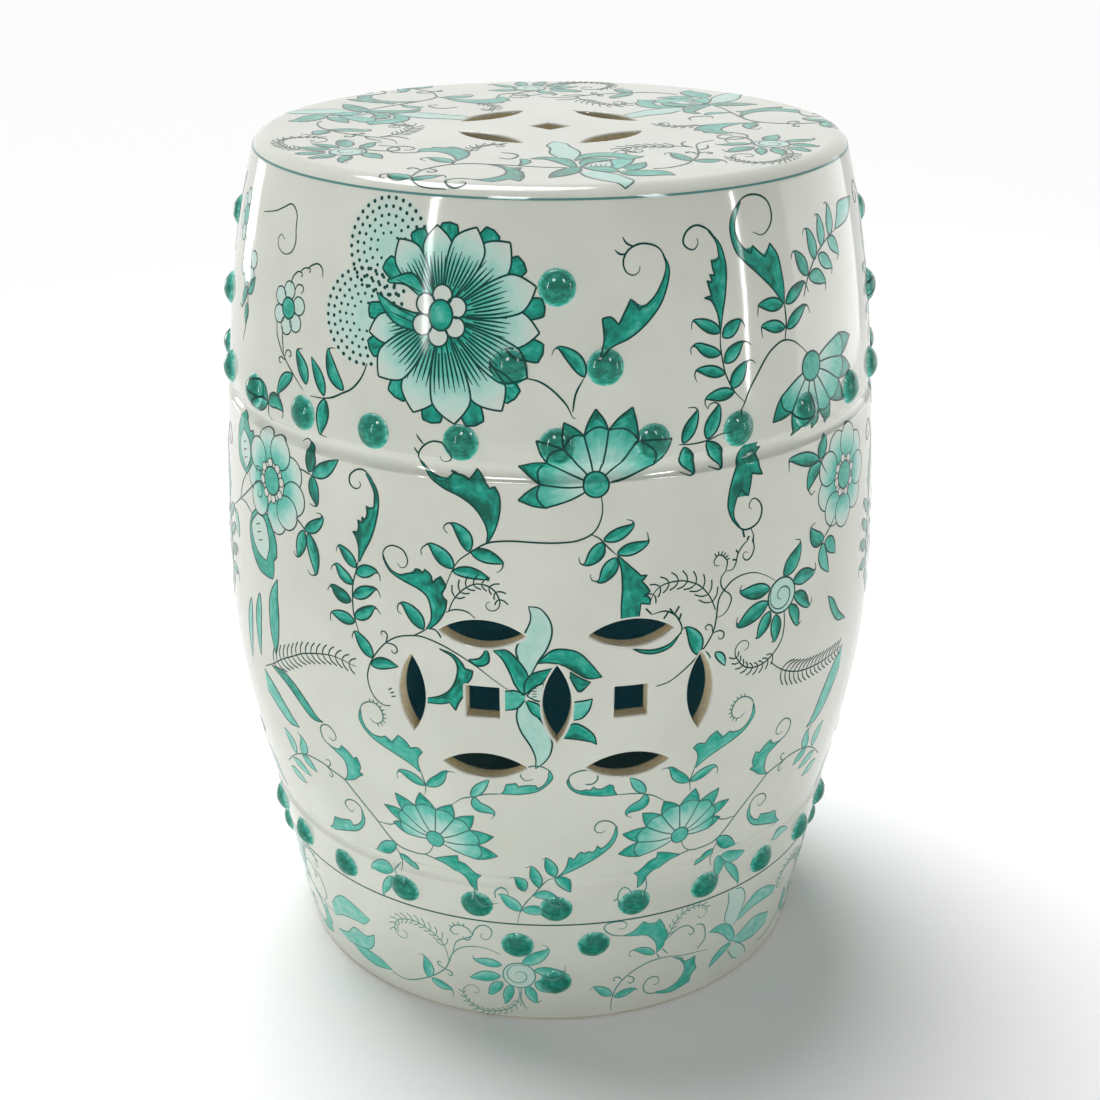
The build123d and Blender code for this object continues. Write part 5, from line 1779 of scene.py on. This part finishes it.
drawing.update(radius=155.0, depth=0.62, weight=0.8)
foot_scrolls()
side_paintings += painting("right_foot_painting")
carried(side_paintings + half_turned(side_paintings))

# Ruled bands: a grey green ring round the rim and a dark ring under the lower row of bosses,
# drawn with the stool turning on the wheel.
band_green, shader = new_finish("grey_green_band_under_glaze")
shader.inputs["Base Color"].default_value = linear("#4F8783")
glossed(band_green, 0.3)
band_lift = 0.12
rim_band_width = 1.1
rim_band_angle = radians(26)
half = rim_band_width / 2 / rim_round
band_angles = np.linspace(rim_band_angle - half, rim_band_angle + half, 6)
band_outline = [rim_point(a, band_lift) for a in band_angles]
band_outline += [rim_point(a, paint_foot) for a in band_angles[::-1]]
rim_band = turned("rim_band", band_outline)
rim_band.data.materials.append(band_green)
foot_line_height = 70.0
foot_line_width = 0.9
foot_line_tone = 0.45
half = foot_line_width / 2
line_heights = np.linspace(foot_line_height - half, foot_line_height + half, 3)
band_outline = [(float(drum_radius(z)) + band_lift, z) for z in line_heights]
band_outline += [(float(drum_radius(z)) + paint_foot, z) for z in line_heights[::-1]]
foot_line = turned("foot_line", band_outline)
foot_line.data.materials.append(dark_line)
line_tone = foot_line.data.attributes.new("tone", "FLOAT", "POINT")
line_tone.data.foreach_set("value", [foot_line_tone] * len(foot_line.data.vertices))
carried([rim_band, foot_line])

# Camera: above the seat's level, looking down on the stool as in the photograph, with the lens
# that fits the stool's outline there. Its place is in metres.
eye_distance = 0.982
eye_height = 0.632
eye_turn = radians(1.1)
eye_tilt = radians(22.91)
focal_pixels = 1869
photo_pixels = 1100
eye = (-eye_distance * sin(eye_turn), -eye_distance * cos(eye_turn), eye_height)
bpy.ops.object.camera_add(location=eye, rotation=(pi / 2 - eye_tilt, 0, -eye_turn))
camera = bpy.context.object
camera.data.sensor_width = 36
camera.data.lens = camera.data.sensor_width * focal_pixels / photo_pixels
bpy.context.scene.camera = camera

# Studio: a plain white paper floor that runs to a white background, with soft boxes round the
# stool, some only for light and some only for glints, and one soft key light from above.
def seen_by_eye(finish):
    """1 for what the camera sees straight, mirrored or through something clear, and else 0."""
    sight = add_node(finish, "ShaderNodeLightPath").outputs
    seen = sight["Is Camera Ray"]
    for way in ("Is Glossy Ray", "Is Transmission Ray"):
        seen = add_node(finish, "ShaderNodeMath", {0: seen, 1: sight[way]},
            operation="MAXIMUM").outputs[0]
    return seen


bpy.ops.mesh.primitive_plane_add(size=14)
floor = bpy.context.object
floor.name = "floor"
paper = bpy.data.materials.new("white_paper_floor")
paper.use_nodes = True
paper.node_tree.nodes.remove(paper.node_tree.nodes["Principled BSDF"])
matt = add_node(paper, "ShaderNodeBsdfDiffuse", {"Color": (0.97, 0.97, 0.97, 1)})
glow = add_node(paper, "ShaderNodeEmission", {"Color": (1, 1, 1, 1), "Strength": 0.02})
both = add_node(paper, "ShaderNodeAddShader", {0: matt.outputs[0], 1: glow.outputs[0]})
mixed = add_node(paper, "ShaderNodeMixShader", {0: seen_by_eye(paper), 1: matt.outputs[0],
    2: both.outputs[0]})
paper.node_tree.links.new(mixed.outputs[0], paper.node_tree.nodes["Material Output"].inputs["Surface"])
floor.data.materials.append(paper)

world = bpy.data.worlds.new("studio")
bpy.context.scene.world = world
world.use_nodes = True
soft = world.node_tree.nodes["Background"]
soft.inputs["Color"].default_value = (1, 1, 1, 1)
soft.inputs["Strength"].default_value = 0.18
white = add_node(world, "ShaderNodeBackground", {"Color": (1, 1, 1, 1), "Strength": 1.0})
mixed = add_node(world, "ShaderNodeMixShader", {0: seen_by_eye(world), 1: soft.outputs[0],
    2: white.outputs[0]})
world.node_tree.links.new(mixed.outputs[0], world.node_tree.nodes["World Output"].inputs["Surface"])
aim_height = 0.38


def soft_box(turn, height, distance, width, tall, watts, lights=True, glints=True):
    """Soft box aimed at the shoulder, a turn in degrees from the front, for light, glints or both."""
    spot = Vector((distance * sin(radians(turn)), -distance * cos(radians(turn)), height))
    aim = (Vector((0, 0, aim_height)) - spot).to_track_quat("-Z", "Y")
    bpy.ops.object.light_add(type="AREA", location=spot, rotation=aim.to_euler())
    bpy.context.object.visible_diffuse = lights
    bpy.context.object.visible_glossy = glints
    lamp = bpy.context.object.data
    lamp.shape = "RECTANGLE"
    lamp.size = width
    lamp.size_y = tall
    lamp.energy = watts


soft_box(0, 0.14, 2.2, 2.0, 0.24, 11.0, glints=False)
soft_box(-78, 0.32, 1.7, 1.0, 0.6, 4.2, glints=False)
soft_box(112, 0.36, 1.5, 1.3, 0.72, 4.2)
soft_box(-133, 0.31, 1.4, 0.2, 0.28, 1.3)
soft_box(66, 0.5, 1.5, 0.03, 0.7, 1.8, lights=False)
soft_box(-42, 0.75, 1.6, 0.06, 0.9, 6.0, lights=False)
soft_box(-18, 1.7, 1.4, 0.4, 0.4, 11.0, lights=False)
soft_box(40, 1.5, 1.5, 0.22, 0.45, 7.0, lights=False)

bpy.ops.object.light_add(type="SUN", rotation=(radians(-20.5), radians(-13), 0))
key = bpy.context.object.data
key.energy = 2.76
key.angle = radians(38)

bpy.context.scene.view_settings.view_transform = "Standard"
only(floor)
